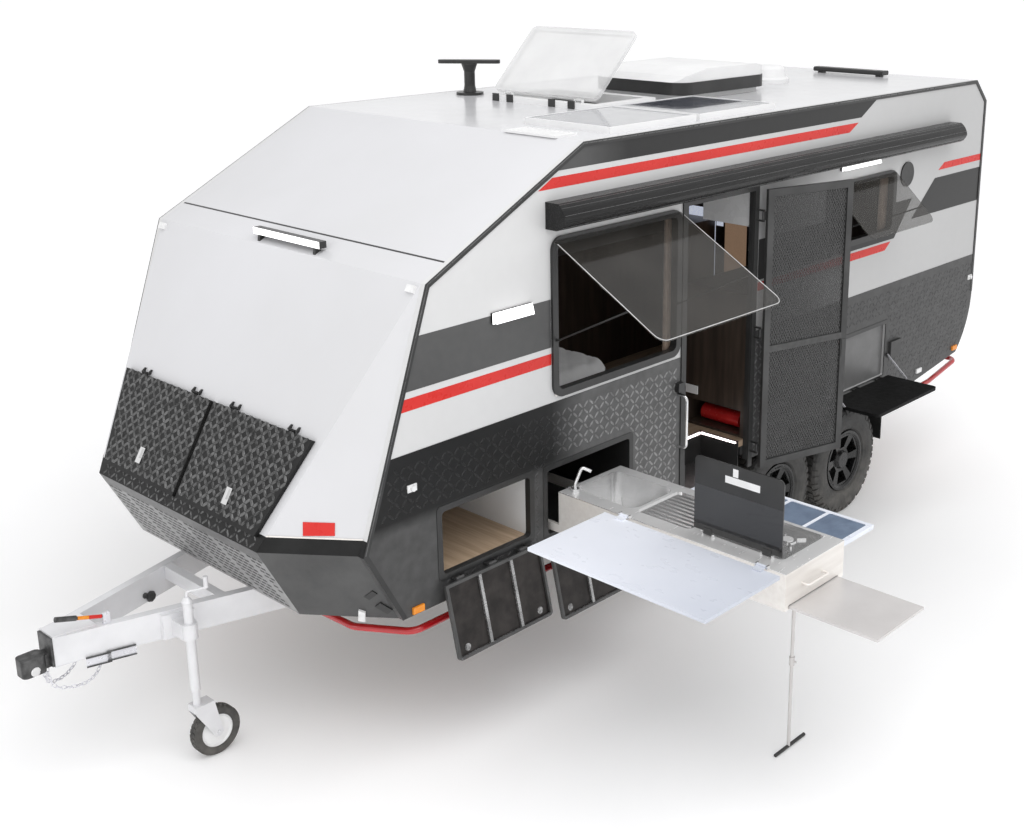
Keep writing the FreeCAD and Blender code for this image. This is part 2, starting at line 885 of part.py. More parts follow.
def trailing_arms():
    """Four trailing arms with their pivot tubes and stub axles."""
    made = []
    for axle in (size("front_axle"), size("rear_axle")):
        for sign in (1, -1):
            inner = size("rail_half_spacing") + size("beam_width") + 12
            arm = prism("XZ", inner + 40, 60, [
                (-axle + 30, size("wheel_radius") - 45),
                (-axle + 60, size("wheel_radius") + 45),
                (-axle + ARM_PIVOT_BACK - 20, BEAM_BOTTOM + 30),
                (-axle + ARM_PIVOT_BACK + 30, BEAM_BOTTOM - 20),
                (-axle + 120, size("wheel_radius") - 30),
            ])
            seat = box(-axle - 60, -axle + 62, inner + 30, inner + 130, size("wheel_radius") - 45,
                       size("wheel_radius") + 45)
            stub = rod("Y", -axle, inner + 120, size("wheel_radius"), HUB_BORE - GAP,
                       size("wheel_track") + HUB_BLIND - GAP - inner - 120)
            pivot = rod("Y", -axle + ARM_PIVOT_BACK - 10, inner - 11.7, BEAM_BOTTOM + 12, 30,
                        150)
            joined = fuse(arm, seat, stub, pivot)
            made.append(joined if sign > 0 else mirrored(joined))
    return made


publish("trailing_arms", *trailing_arms())


def air_springs():
    """A bellows between each arm's seat and the chassis outrigger."""
    made = []
    for axle in (size("front_axle"), size("rear_axle")):
        centre = (-axle, size("rail_half_spacing") + size("beam_width") + 80, 0)
        low = size("wheel_radius") + 45
        high = FLOOR - size("floor_thickness") - OUTRIGGER
        step = (high - low) / 3
        profile = [(low, 0), (low, 58)]
        for index in range(3):
            profile.append((low + step * index + step / 2, 74))
            profile.append((low + step * (index + 1), 58))
        profile.append((high, 0))
        spring = turned("Z", profile, centre)
        made.append(spring)
        made.append(mirrored(spring))
    return made


publish("air_springs", *air_springs())


# Road wheels

TYRE_HALF = size("wheel_width") / 2
TYRE_R = size("wheel_radius")
RIM_R = size("rim_radius")


def tyre():
    return turned("Y", [
        (-TYRE_HALF + 22, RIM_R - 12),
        (-TYRE_HALF, RIM_R + 40),
        (-TYRE_HALF, TYRE_R - 55),
        (-TYRE_HALF + 30, TYRE_R - 8),
        (-TYRE_HALF + 60, TYRE_R),
        (TYRE_HALF - 60, TYRE_R),
        (TYRE_HALF - 30, TYRE_R - 8),
        (TYRE_HALF, TYRE_R - 55),
        (TYRE_HALF, RIM_R + 40),
        (TYRE_HALF - 22, RIM_R - 12),
    ])


def rim():
    """A barrel with a dished face, windows between six spokes, and the brake drum behind it."""
    half = TYRE_HALF - 24
    barrel = turned("Y", [
        (-half, RIM_R - 14),
        (-half, RIM_R - 34),
        (half, RIM_R - 34),
        (half + 10, RIM_R - 20),
        (half + 10, RIM_R - 4),
        (half, RIM_R - 14),
    ])
    face = turned("Y", [
        (half - 60, 0),
        (half - 2, 0),
        (half - 2, 56),
        (half - 22, 70),
        (half - 4, RIM_R - 33),
        (half - 34, RIM_R - 33),
        (half - 60, 80),
    ])
    windows = []
    for index in range(6):
        window = prism("XZ", -20, 150, [
            (-28, 88),
            (-62, RIM_R - 52),
            (62, RIM_R - 52),
            (28, 88),
        ])
        windows.append(moved(window, rotation=Rotation(Vector(0, 1, 0), 60 * index)))
    drum = turned("Y", [
        (-60, HUB_BORE),
        (-60, 150),
        (20, 150),
        (20, 62),
        (half - 59, 62),
        (half - 59, 0),
        (HUB_BLIND, 0),
        (HUB_BLIND, HUB_BORE),
    ])
    return fuse(barrel, cut(face, *windows), drum)


tyre_form = tyre()
rim_form = rim()
for name, axle, sign in (("front_left", "front_axle", 1), ("rear_left", "rear_axle", 1),
                         ("front_right", "front_axle", -1), ("rear_right", "rear_axle", -1)):
    spot = (-size(axle), size("wheel_track") * sign, size("wheel_radius"))
    turn = Rotation() if sign > 0 else Rotation(Vector(0, 0, 1), 180)
    publish(f"tyre_{name}", tyre_form, at=spot, rotation=turn)
    publish(f"rim_{name}", rim_form, at=spot, rotation=turn)


# Coupling and jockey wheel

SOCKET_R = 18
SOCKET_DEEP = 70


def coupling():
    """The head that drops over the tow pin, on a shank bolted to the drawbar's plate."""
    reach = size("hitch_reach")
    level = size("hitch_height")
    half = 46
    head = box(reach - 62, reach + 55, -half, half,
               level - SOCKET_DEEP / 2, level + 52)
    head = rounded(head, 26, (0, 0, 1))
    shank = box(APEX_X + HEAD_PLATE, reach - 55, -32, 32, level - 25, level + 45)
    plate = box(APEX_X + HEAD_PLATE, APEX_X + HEAD_PLATE + 12, -62, 62, BEAM_BOTTOM, BEAM_TOP)
    socket = rod("Z", reach, 0, level - SOCKET_DEEP / 2 - 5, SOCKET_R, SOCKET_DEEP + 5)
    return cut(fuse(head, shank, plate), socket)


def handbrake():
    """The parking-brake bracket on the near beam with its lever raised to the front."""
    pivot = Vector(750, beam_outer(750) - size("beam_width") / 2, BEAM_TOP + 40)
    end = pivot + Vector(235, 4, 74)
    ears = box(pivot.x - 18, pivot.x + 18, pivot.y - 9, pivot.y + 9, BEAM_TOP, pivot.z + 16)
    lever = strut(tuple(pivot), tuple(end), 8)
    grip = strut(tuple(pivot + (end - pivot) * 0.62), tuple(end + (end - pivot) * 0.04), 13)
    return fuse(ears, lever, grip)


publish("coupling", coupling(), handbrake())


def safety_chain():
    """One safety chain, hung slack from the coupling's shank to the near beam."""
    low = size("hitch_height") - 140
    shank = size("hitch_height") - 25
    front = size("hitch_reach") - 70
    beam_y = beam_outer(front - 230) - size("beam_width") / 2
    return tube_path([(front, 22, shank), (front, 22, low + 40), (front - 33, 35, low), (front - 118, 70, low - 15),
                      (front - 188, beam_y - 5, low + 15), (front - 230, beam_y, low + 65),
                      (front - 230, beam_y, BEAM_BOTTOM)], 6, 12)


publish("safety_chains", safety_chain(), mirrored(safety_chain()))

JX = size("jockey_x")
JY = size("jockey_y")
TUBE_R = 24
FORK_TOP = 330


def jockey_clamp():
    """The clamp that holds the post on the beam's outer face."""
    ring = rod("Z", JX, JY, BEAM_BOTTOM + 30, TUBE_R + 14, 80)
    arm = box(JX - 40, JX + 40, beam_outer(JX) + 14, JY, BEAM_BOTTOM + 30, BEAM_BOTTOM + 110)
    bore = rod("Z", JX, JY, BEAM_BOTTOM, TUBE_R, 200)
    plate = prism("XY", BEAM_BOTTOM + 5, 130, [
        (JX + 75, beam_outer(JX + 75) + 0.3),
        (JX - 75, beam_outer(JX - 75) + 0.3),
        (JX - 75, beam_outer(JX - 75) + 30),
        (JX + 75, beam_outer(JX + 75) + 30),
    ])
    return cut(fuse(ring, arm, plate), bore)


def jockey_post():
    """The outer tube with its cap and crank handle."""
    tube = rod("Z", JX, JY, FORK_TOP + 60, TUBE_R, 480)
    cap = cone("Z", JX, JY, FORK_TOP + 539, TUBE_R + 4, 12, 24)
    crank = tube_path([(JX, JY, FORK_TOP + 555), (JX, JY, FORK_TOP + 590),
                       (JX - 90, JY + 30, FORK_TOP + 590)], 7, 12)
    grip = rod("Z", JX - 90, JY + 30, FORK_TOP + 590, 12, 60)
    return fuse(tube, cap, crank, grip)


publish("jockey_post", jockey_clamp(), jockey_post())


AXLE_R = 8


def jockey_fork():
    """The inner tube and the fork that trails the wheel."""
    trail = JX - size("jockey_trail")
    radius = size("jockey_radius")
    half = size("jockey_width") / 2 + 4
    stem = rod("Z", JX, JY, FORK_TOP - 30, TUBE_R - 5, 90 - GAP)
    crown = box(JX - 75, JX + 28, JY - half - 4, JY + half + 4, radius * 2 + 12, radius * 2 + 50)
    cheeks = []
    for y0 in (JY - half - 4, JY + half):
        cheeks.append(prism("XZ", y0, 4, [
            (JX + 28, radius * 2 + 50),
            (JX - 75, radius * 2 + 50),
            (trail - 26, radius - 8),
            (trail - 10, radius - 24),
            (trail + 16, radius - 24),
            (JX + 28, radius * 2 + 8),
        ]))
    axle = rod("Y", trail, JY - half - 14, radius, AXLE_R, half * 2 + 28)
    return fuse(stem, crown, axle, *cheeks)


publish("jockey_fork", jockey_fork())


def jockey_wheel():
    radius = size("jockey_radius")
    half = size("jockey_width") / 2
    centre = (JX - size("jockey_trail"), JY, radius)
    rubber = turned("Y", [
        (-half + 8, radius - 42),
        (-half, radius - 30),
        (-half + 4, radius - 10),
        (-half + 16, radius),
        (half - 16, radius),
        (half - 4, radius - 10),
        (half, radius - 30),
        (half - 8, radius - 42),
    ], centre)
    disc = turned("Y", [
        (-half + 8, radius - 42),
        (half - 8, radius - 42),
        (half - 4, radius - 48),
        (half - 14, radius - 56),
        (half - 6, 26),
        (half, 22),
        (half, AXLE_R + GAP),
        (-half, AXLE_R + GAP),
        (-half, 22),
        (-half + 6, 26),
        (-half + 14, radius - 56),
        (-half + 4, radius - 48),
    ], centre)
    publish("jockey_tyre", rubber)
    publish("jockey_rim", disc)


jockey_wheel()


# Doorway and screen door

PROUD = 10
HINGE_X = -size("door_rear") - 30
HINGE_Y = HALF + 50
KNUCKLE_R = 8
PIN_R = 4
DOOR_HINGES = (850, 1600, 2330)


def door_frame():
    """The doorway's face flange and reveal, with the hinge lugs and pins of the screen door."""
    flange = cut(door_area(DOOR_FRAME, HALF, HALF + PROUD), door_area(0, HALF - 1, HALF + PROUD + 1),
                 box(HINGE_X - 60, -size("door_front") + 60, HALF - 5, HALF + 20,
                     BOTTOM - 120, size("door_sill")))
    reveal = cut(door_area(0, INNER, HALF + 1), door_area(-size("lip"), INNER - 1, HALF + 2),
                 box(HINGE_X, -size("door_front") + 60, INNER - 5, HALF + 20, BOTTOM - 120, BOTTOM))
    pieces = [flange, reveal]
    for level in DOOR_HINGES:
        for low in (level - 12, level + 52):
            pieces.append(box(HINGE_X - 6, HINGE_X + 6, HALF + PROUD - 1, HINGE_Y + 6, low, low + 10))
        pieces.append(rod("Z", HINGE_X, HINGE_Y, level - 12, PIN_R, 74))
    return fuse(*pieces)


publish("door_frame", door_frame())

LEAF_LOW = size("door_sill") + 6
LEAF_HIGH = size("door_head") + 12
LEAF_FRONT = -size("door_front") + 8
LEAF_REAR = HINGE_X + 8
LEAF_Y = HALF + PROUD + 6
LEAF_THICK = 22


def screen_door():
    """The framed mesh leaf, drawn shut and swung back against the wall."""
    border = 46
    outer = box(LEAF_REAR, LEAF_FRONT, LEAF_Y, LEAF_Y + LEAF_THICK, LEAF_LOW, LEAF_HIGH)
    fields = []
    for low, high in ((LEAF_LOW + border, 1500), (1540, LEAF_HIGH - border)):
        fields.append(box(LEAF_REAR + border, LEAF_FRONT - border, LEAF_Y - 1,
                          LEAF_Y + LEAF_THICK + 1, low, high))
    mesh = box(LEAF_REAR + border - 1, LEAF_FRONT - border + 1, LEAF_Y + 10, LEAF_Y + 12,
               LEAF_LOW + border - 1, LEAF_HIGH - border + 1)
    lock = box(LEAF_FRONT - 38, LEAF_FRONT - 8, LEAF_Y - 3, LEAF_Y + LEAF_THICK + 14, 1375, 1495)
    pieces = [cut(outer, *fields), mesh, lock]
    for level in DOOR_HINGES:
        pieces.append(cut(fuse(rod("Z", HINGE_X, HINGE_Y, level, KNUCKLE_R, 50),
                               box(HINGE_X + 3, LEAF_REAR + 16, LEAF_Y + LEAF_THICK - 1, HINGE_Y + 5,
                                   level, level + 50)),
                          rod("Z", HINGE_X, HINGE_Y, level - 1, PIN_R + GAP, 52)))
    return swung(fuse(*pieces), (HINGE_X, HINGE_Y, 0), (0, 0, 1), size("door_angle"))


publish("screen_door", screen_door())


# Side lockers

LIP = size("lip")
LINER = size("liner")
LOCKER_PROUD = 6
LOCKER_DOOR = size("locker_door")
LOCKER_HINGE_Y = HALF + LOCKER_PROUD + 4 + LOCKER_DOOR
HINGE_DROP = 32


def locker_frame(name):
    """The flange round a side locker and its lip through the wall."""
    flange = cut(locker_area(name, FLANGE, LOCKER_CORNER, HALF, HALF + LOCKER_PROUD),
                 locker_area(name, -LIP, LOCKER_CORNER - 4, HALF - 1, HALF + LOCKER_PROUD + 1))
    lip = cut(locker_area(name, 0, LOCKER_CORNER, INNER, HALF + 1),
              locker_area(name, -LIP, LOCKER_CORNER - 4, INNER - 1, HALF + 2))
    return fuse(flange, lip)


def locker_hinges(name):
    """The lugs and pins that carry a locker door along its lower edge."""
    level = size(f"{name}_bottom") - HINGE_DROP
    front = -size(f"{name}_front")
    rear = -size(f"{name}_rear")
    pieces = []
    for x in (rear + 60, (front + rear) / 2 - 25, front - 110):
        for low in (x - 12, x + 52):
            pieces.append(box(low, low + 10, HALF + CLAD, LOCKER_HINGE_Y + 4, level - 5, level + 5))
        pieces.append(rod("X", x - 12, LOCKER_HINGE_Y, level, PIN_R, 74))
    return fuse(*pieces)


def locker_door(name):
    """A locker door drawn shut: a ribbed, framed panel with its knuckles."""
    level = size(f"{name}_bottom") - HINGE_DROP
    front = -size(f"{name}_front") + 24
    rear = -size(f"{name}_rear") - 26
    top = size(f"{name}_top") + 26
    y1 = LOCKER_HINGE_Y
    y0 = LOCKER_HINGE_Y - LOCKER_DOOR
    panel = rounded(box(rear, front, y0, y1, level + 8, top), 22, (0, 1, 0),
                    lambda spot: spot.z > float(level) + 60)
    hollow = box(rear + 16, front - 16, y0 - 1, y1 - 5, level + 24, top - 16)
    pieces = [cut(panel, hollow)]
    for share in (0.33, 0.66):
        x = rear + (front - rear) * share
        pieces.append(box(x - 9, x + 9, y0 + 1, y1 - 4, level + 23, top - 15))
    for x in (rear + 75, front - 75):
        pieces.append(rod("Y", x, y1 - 6, top - 48, 19, 14))
    body = fuse(*pieces)
    knuckles = []
    bores = []
    for x in (-size(f"{name}_rear") + 60, -(size(f"{name}_front") + size(f"{name}_rear")) / 2 - 25,
              -size(f"{name}_front") - 110):
        knuckles.append(rod("X", x, y1, level, KNUCKLE_R, 50))
        knuckles.append(box(x, x + 50, y1 - 7, y1, level, level + 12))
        bores.append(rod("X", x - 1, y1, level, PIN_R + GAP, 52))
    return cut(fuse(body, *knuckles), *bores)


def hung(door, name):
    """A locker door let down on its hinges."""
    level = size(f"{name}_bottom") - HINGE_DROP
    return swung(door, (0, LOCKER_HINGE_Y, level), (-1, 0, 0), size("locker_angle"))


boot_shut = locker_door("bay")
publish("toolbox_door", hung(boot_shut, "bay"))
publish("boot_door", mirrored(boot_shut))
publish("galley_door", hung(locker_door("galley"), "galley"))


def locker_box(name, y0, y1, low):
    """A lined compartment behind a locker's opening, as a tube of board."""
    front = -size(f"{name}_front") - LIP
    rear = -size(f"{name}_rear") + LIP
    top = size(f"{name}_top") - LIP
    outer = box(rear - LINER, front + LINER, y0, y1, low, top + LINER)
    inner = box(rear, front, y0 - 1, y1 + 1, size(f"{name}_bottom") + LIP, top)
    return cut(outer, inner)


def galley_box():
    back = box(-size("galley_rear") + LIP, -size("galley_front") - LIP, GALLEY_END,
               LINER + GALLEY_END, size("galley_bottom") + LIP, size("galley_top") - LIP)
    return fuse(locker_box("galley", GALLEY_END, INNER, FLOOR - size("floor_thickness")), back)


publish("locker_liners", locker_box("bay", -INNER, INNER, FLOOR), galley_box())


# Slide-out kitchen

BENCH_TOP = size("bench_height")
BENCH_LOW = BENCH_TOP - size("bench_depth")
BENCH_FRONT = -size("bench_front")
BENCH_REAR = -size("bench_rear")
BENCH_IN = size("bench_in")
SINK_IN = BENCH_IN + 27
SINK_OUT = SINK_IN + size("sink_length")
DRAIN_IN = SINK_OUT + 18
DRAIN_OUT = DRAIN_IN + size("drainer_length")
HOB_IN = DRAIN_OUT + 35
HOB_OUT = HOB_IN + size("hob_length")
BENCH_OUT = HOB_OUT + 95
FLAP_OUT = BENCH_OUT - 13
FLAP_IN = FLAP_OUT - size("flap_length")
TRAY_OUT = BENCH_OUT - 8
TRAY_IN = TRAY_OUT - size("tray_length")
SLIDE_IN = BENCH_IN - 895
SLIDE_OUT = BENCH_OUT - 740
HANDLE_Z = BENCH_TOP - 95
HANDLE_REACH = 36
TRAY_LOW = BENCH_TOP - 40
TRAY_HIGH = BENCH_TOP - 18
SHELF_LOW = BENCH_LOW + SHEET + GAP
SHELF_THICK = 14
LEG_PIVOT_Z = BENCH_LOW - 16
LEG_R = 9
LEG_Y = BENCH_OUT - 164


def kitchen_carcass():
    """The slide-out cabinet: folded sheet sides, slots for tray and shelf, slides and leg lugs."""
    under = BENCH_TOP - SHEET
    shell = cut(box(BENCH_REAR, BENCH_FRONT, BENCH_IN, BENCH_OUT, BENCH_LOW, under),
                box(BENCH_REAR + SHEET, BENCH_FRONT - SHEET, BENCH_IN + SHEET, BENCH_OUT - SHEET,
                    BENCH_LOW + SHEET, under + 1))
    shelf_slot = box(-size("shelf_rear") - 5, -size("shelf_front") + 5, BENCH_OUT - 10, BENCH_OUT + 10,
                     BENCH_LOW + SHEET, SHELF_LOW + SHELF_THICK + 5)
    tray_slot = box(BENCH_REAR - 5, BENCH_REAR + 10, TRAY_IN - 5, TRAY_OUT + 3,
                    TRAY_LOW - 5, TRAY_HIGH + 5)
    shell = cut(shell, shelf_slot, tray_slot)
    pieces = [shell]
    run_front = BENCH_REAR + size("tray_reach") + 60
    pieces.append(box(BENCH_REAR + 1, run_front, TRAY_IN - 14, TRAY_IN - GAP, TRAY_LOW, TRAY_HIGH))
    pieces.append(box(BENCH_REAR + 1, run_front, TRAY_OUT + GAP, BENCH_OUT - 1,
                      TRAY_LOW, TRAY_HIGH))
    for x0, x1 in ((BENCH_FRONT - 20, BENCH_FRONT), (BENCH_REAR, BENCH_REAR + 15)):
        pieces.append(box(x0, x1, SLIDE_IN, SLIDE_OUT, BENCH_LOW - 45, BENCH_LOW))
        pieces.append(box(x0, x1, BENCH_IN, SLIDE_OUT, BENCH_LOW - 1, BENCH_LOW + 1))
    for x in (-size("leg_x") - 24, -size("leg_x") + 14):
        pieces.append(box(x, x + 10, LEG_Y - 12, LEG_Y + 12, LEG_PIVOT_Z - 10, BENCH_LOW + 1))
    pieces.append(rod("X", -size("leg_x") - 24, LEG_Y, LEG_PIVOT_Z, PIN_R, 48))
    handle_out = BENCH_OUT + HANDLE_REACH
    handle_front = BENCH_FRONT - 140
    handle_rear = BENCH_FRONT - 310
    pieces.append(tube_path([(handle_front, BENCH_OUT - 1, HANDLE_Z), (handle_front, handle_out, HANDLE_Z),
                             (handle_rear, handle_out, HANDLE_Z), (handle_rear, BENCH_OUT - 1, HANDLE_Z)],
                            6, 14))
    return fuse(*pieces)


def slide_rails():
    """The fixed rails in the galley compartment that the cabinet's slides run on."""
    low = size("galley_bottom") + LIP
    return [box(BENCH_FRONT - 20, BENCH_FRONT, GALLEY_END + 30, INNER - 8, low, BENCH_LOW - 45),
            box(BENCH_REAR, BENCH_REAR + 15, GALLEY_END + 30, INNER - 8, low, BENCH_LOW - 45)]


publish("kitchen_carcass", kitchen_carcass(), *slide_rails())

SINK_FRONT = BENCH_FRONT - 90
SINK_REAR = BENCH_REAR + 65
HOB_FRONT = BENCH_FRONT - 112
HOB_REAR = BENCH_REAR + 23
SINK_DEEP = 140
SINK_CORNER = 60
PAN_DEEP = 9
PAN_CORNER = 30
RIB_STEP = 37
LID_Y0 = HOB_IN - 10
LID_Y1 = HOB_OUT + 7
LID_X = -size("lid_x")
LID_Z = BENCH_TOP + 10
LID_HINGES = (LID_Y0 + 60, LID_Y1 - 110)
FLAP_X = BENCH_FRONT + 14
FLAP_Z = BENCH_TOP + 11
FLAP_HINGES = (FLAP_IN + 90, FLAP_OUT - 140)
HOB_MIDDLE = (HOB_FRONT + HOB_REAR) / 2
BURNERS = ((HOB_MIDDLE - 18, HOB_IN + size("hob_length") * 0.25),
           (HOB_MIDDLE - 33, HOB_IN + size("hob_length") * 0.76))
TAP_X = BENCH_FRONT - 65
TAP_Y = SINK_IN + 33


def recess(x0, x1, y0, y1, deep, radius):
    """A pressed pan under the worktop and the hollow inside it."""
    pan = rounded(box(x0 - SHEET, x1 + SHEET, y0 - SHEET, y1 + SHEET, BENCH_TOP - SHEET - deep,
                      BENCH_TOP - 1), radius + 3, (0, 0, 1))
    hollow = rounded(box(x0, x1, y0, y1, BENCH_TOP - deep, BENCH_TOP + 5), radius, (0, 0, 1))
    return pan, hollow


def kitchen_top():
    """The stainless worktop with its bowl, drainer, hob pan, tap and hinge lugs."""
    slab = box(BENCH_REAR, BENCH_FRONT, BENCH_IN, BENCH_OUT, BENCH_TOP - SHEET, BENCH_TOP)
    pans = [
        recess(SINK_REAR, SINK_FRONT, SINK_IN, SINK_OUT, SINK_DEEP, SINK_CORNER),
        recess(SINK_REAR, SINK_FRONT, DRAIN_IN, DRAIN_OUT, PAN_DEEP, PAN_CORNER),
        recess(HOB_REAR, HOB_FRONT, HOB_IN, HOB_OUT, PAN_DEEP, PAN_CORNER),
    ]
    base = cut(fuse(slab, *[pan for pan, hollow in pans]), *[hollow for pan, hollow in pans])
    pieces = [base]
    for index in range(8):
        x = SINK_REAR + RIB_STEP * (index + 1)
        pieces.append(box(x, x + 7, DRAIN_IN + 22, DRAIN_OUT - 25, BENCH_TOP - PAN_DEEP - 1, BENCH_TOP - 4))
    for x, y in BURNERS:
        pieces.append(rod("Z", x, y, BENCH_TOP - PAN_DEEP - 1, 44, 7))
        pieces.append(rod("Z", x, y, BENCH_TOP - PAN_DEEP + 5, 30, 4))
        for turn in range(4):
            arm = box(48, 92, -4, 4, BENCH_TOP - PAN_DEEP - 1, BENCH_TOP + 2)
            pieces.append(moved(arm, x, y, 0, Rotation(Vector(0, 0, 1), 45 + 90 * turn)))
    pieces.append(rod("Z", (SINK_REAR + SINK_FRONT) / 2, (SINK_IN + SINK_OUT) / 2, BENCH_TOP - SINK_DEEP - 1, 34, 4))
    for level in LID_HINGES:
        for low in (level - 10, level + 52):
            pieces.append(box(LID_X - 6, LID_X + 6, low, low + 8, BENCH_TOP - 1, LID_Z + 5))
        pieces.append(rod("Y", LID_X, level - 10, LID_Z, 3, 70))
    for level in FLAP_HINGES:
        for low in (level - 10, level + 52):
            pieces.append(box(BENCH_FRONT - 6, FLAP_X + 5, low, low + 8, BENCH_TOP - 1, FLAP_Z + 5))
        pieces.append(rod("Y", FLAP_X, level - 10, FLAP_Z, 3, 70))
    pieces.append(rod("Z", TAP_X, TAP_Y, BENCH_TOP - 1, 22, 18))
    pieces.append(tube_path([(TAP_X, TAP_Y, BENCH_TOP), (TAP_X, TAP_Y, BENCH_TOP + 45),
                             (TAP_X - 24, TAP_Y + 26, BENCH_TOP + 136),
                             (TAP_X - 58, TAP_Y + 60, BENCH_TOP + 112)], 9, 16))
    pieces.append(box(TAP_X - 6, TAP_X + 6, TAP_Y - 46, TAP_Y - 8, BENCH_TOP + 8, BENCH_TOP + 16))
    return fuse(*pieces)


publish("kitchen_top", kitchen_top())


def bench_flap():
    """The folding side bench: a folded sheet leaf on raised knuckles."""
    rear = -size("flap_rear")
    front = -size("flap_front")
    y0 = FLAP_IN
    y1 = FLAP_OUT
    leaf = cut(box(rear, front, y0, y1, BENCH_TOP - 18, BENCH_TOP),
               box(rear + SHEET, front - SHEET, y0 + SHEET, y1 - SHEET, BENCH_TOP - 19,
                   BENCH_TOP - SHEET))
    pieces = [leaf]
    for share in (0.33, 0.67):
        y = y0 + (y1 - y0) * share
        pieces.append(box(rear + 1, front - 1, y - 12, y + 12, BENCH_TOP - 14, BENCH_TOP - SHEET + 1))
    bores = []
    for level in FLAP_HINGES:
        pieces.append(rod("Y", FLAP_X, level, FLAP_Z, 7, 50))
        pieces.append(box(FLAP_X, rear + 2, level, level + 50, BENCH_TOP + 4, BENCH_TOP + 8))
        pieces.append(box(rear, rear + 30, level, level + 50, BENCH_TOP - 1, BENCH_TOP + 8))
        bores.append(rod("Y", FLAP_X, level - 1, FLAP_Z, 3 + GAP, 52))
    return cut(fuse(*pieces), *bores)


publish("bench_flap", bench_flap())


def hob_lid():
    """The glass hob lid standing on its hinge line."""
    plate = rounded(box(LID_X - 3, LID_X + 3, LID_Y0, LID_Y1, LID_Z + 12, LID_Z + 12 + size("lid_height")),
                    28, (1, 0, 0), lambda spot: spot.z > float(LID_Z) + 100)
    pieces = [plate]
    bores = []
    for level in LID_HINGES:
        pieces.append(rod("Y", LID_X, level, LID_Z, 6, 50))
        pieces.append(box(LID_X - 5, LID_X + 5, level, level + 50, LID_Z, LID_Z + 30))
        bores.append(rod("Y", LID_X, level - 1, LID_Z, 3 + GAP, 52))
    return cut(fuse(*pieces), *bores)


publish("hob_lid", hob_lid())


TRAY_RIM = 26
TRAY_RIB = 18


def side_tray():
    """The shallow tray that runs out over the rear side, ribbed underneath."""
    x0 = BENCH_REAR - size("tray_reach")
    x1 = BENCH_REAR + 55
    y0 = TRAY_IN
    y1 = TRAY_OUT
    body = cut(box(x0, x1, y0, y1, TRAY_LOW, TRAY_HIGH),
               box(x0 + SHEET, x1 - SHEET, y0 + SHEET, y1 - SHEET, TRAY_LOW - 1, TRAY_HIGH - 6))
    wells = []
    well = (y1 - y0 - TRAY_RIM * 2 - TRAY_RIB * 3) / 4
    for index in range(4):
        low = y0 + TRAY_RIM + (well + TRAY_RIB) * index
        wells.append(rounded(box(x0 + 24, BENCH_REAR - 26, low, low + well, TRAY_HIGH - 3, TRAY_HIGH + 5),
                             12, (0, 0, 1)))
    return cut(body, *wells)


publish("side_tray", side_tray())


def end_shelf():
    """The shelf that runs out of the end panel."""
    x0 = -size("shelf_rear")
    x1 = -size("shelf_front")
    y0 = BENCH_OUT - 80
    y1 = BENCH_OUT + size("shelf_reach")
    high = SHELF_LOW + SHELF_THICK
    return cut(box(x0, x1, y0, y1, SHELF_LOW, high),
               box(x0 + SHEET, x1 - SHEET, y0 + SHEET, y1 - SHEET, SHELF_LOW - 1, high - SHEET))


publish("end_shelf", end_shelf())


def kitchen_leg():
    """The drop-down leg with its foot bar."""
    x = -size("leg_x")
    tube = rod("Z", x, LEG_Y, LEG_R, LEG_R, LEG_PIVOT_Z - LEG_R)
    collar = rod("Z", x, LEG_Y, 470, LEG_R + 5, 46)
    lock = rod("Y", x, LEG_Y, 493, 5, 26)
    foot = rod("X", -size("foot_rear"), LEG_Y, LEG_R, LEG_R, size("foot_rear") - size("foot_front"))
    head = rod("X", x - 13, LEG_Y, LEG_PIVOT_Z, 12, 26)
    return cut(fuse(tube, collar, lock, foot, head), rod("X", x - 14, LEG_Y, LEG_PIVOT_Z, PIN_R + GAP, 28))


publish("kitchen_leg", kitchen_leg())


# Folding table

TABLE_AXIS_Y = HALF + LOCKER_PROUD + 16
TABLE_Z = size("table_height")
TABLE_THICK = size("table_thickness")
STAY_Z = TABLE_Z + 155
STAY_Y = HALF + LOCKER_PROUD + 14
STAY_LONG = 214
STAY_ANGLE = 48.2
TABLE_HINGES = (-size("table_rear") + 70, -(size("table_front") + size("table_rear")) / 2 - 25,
                -size("table_front") - 130)
STAY_SIDES = (-size("table_rear") - 12, -size("table_front") + 7)


def table_surround():
    """The flange round the recess, the table's hinge lugs and the stays' pins."""
    flange = cut(table_area(FLANGE, HALF, HALF + LOCKER_PROUD), table_area(0, HALF - 1, HALF + 20))
    pieces = [flange]
    for x in TABLE_HINGES:
        for low in (x - 12, x + 52):
            pieces.append(box(low, low + 10, HALF + LOCKER_PROUD - 1, TABLE_AXIS_Y + 6,
                              TABLE_Z - 6, TABLE_Z + 6))
        pieces.append(rod("X", x - 12, TABLE_AXIS_Y, TABLE_Z, PIN_R, 74))
    for x, outside in zip(STAY_SIDES, (-GAP - 10, 5 + GAP)):
        pieces.append(box(x + outside, x + outside + 10, HALF + CLAD, STAY_Y + 8, STAY_Z - 8, STAY_Z + 8))
        pieces.append(rod("X", x - 3, STAY_Y, STAY_Z, 3, 11))
    return fuse(*pieces)




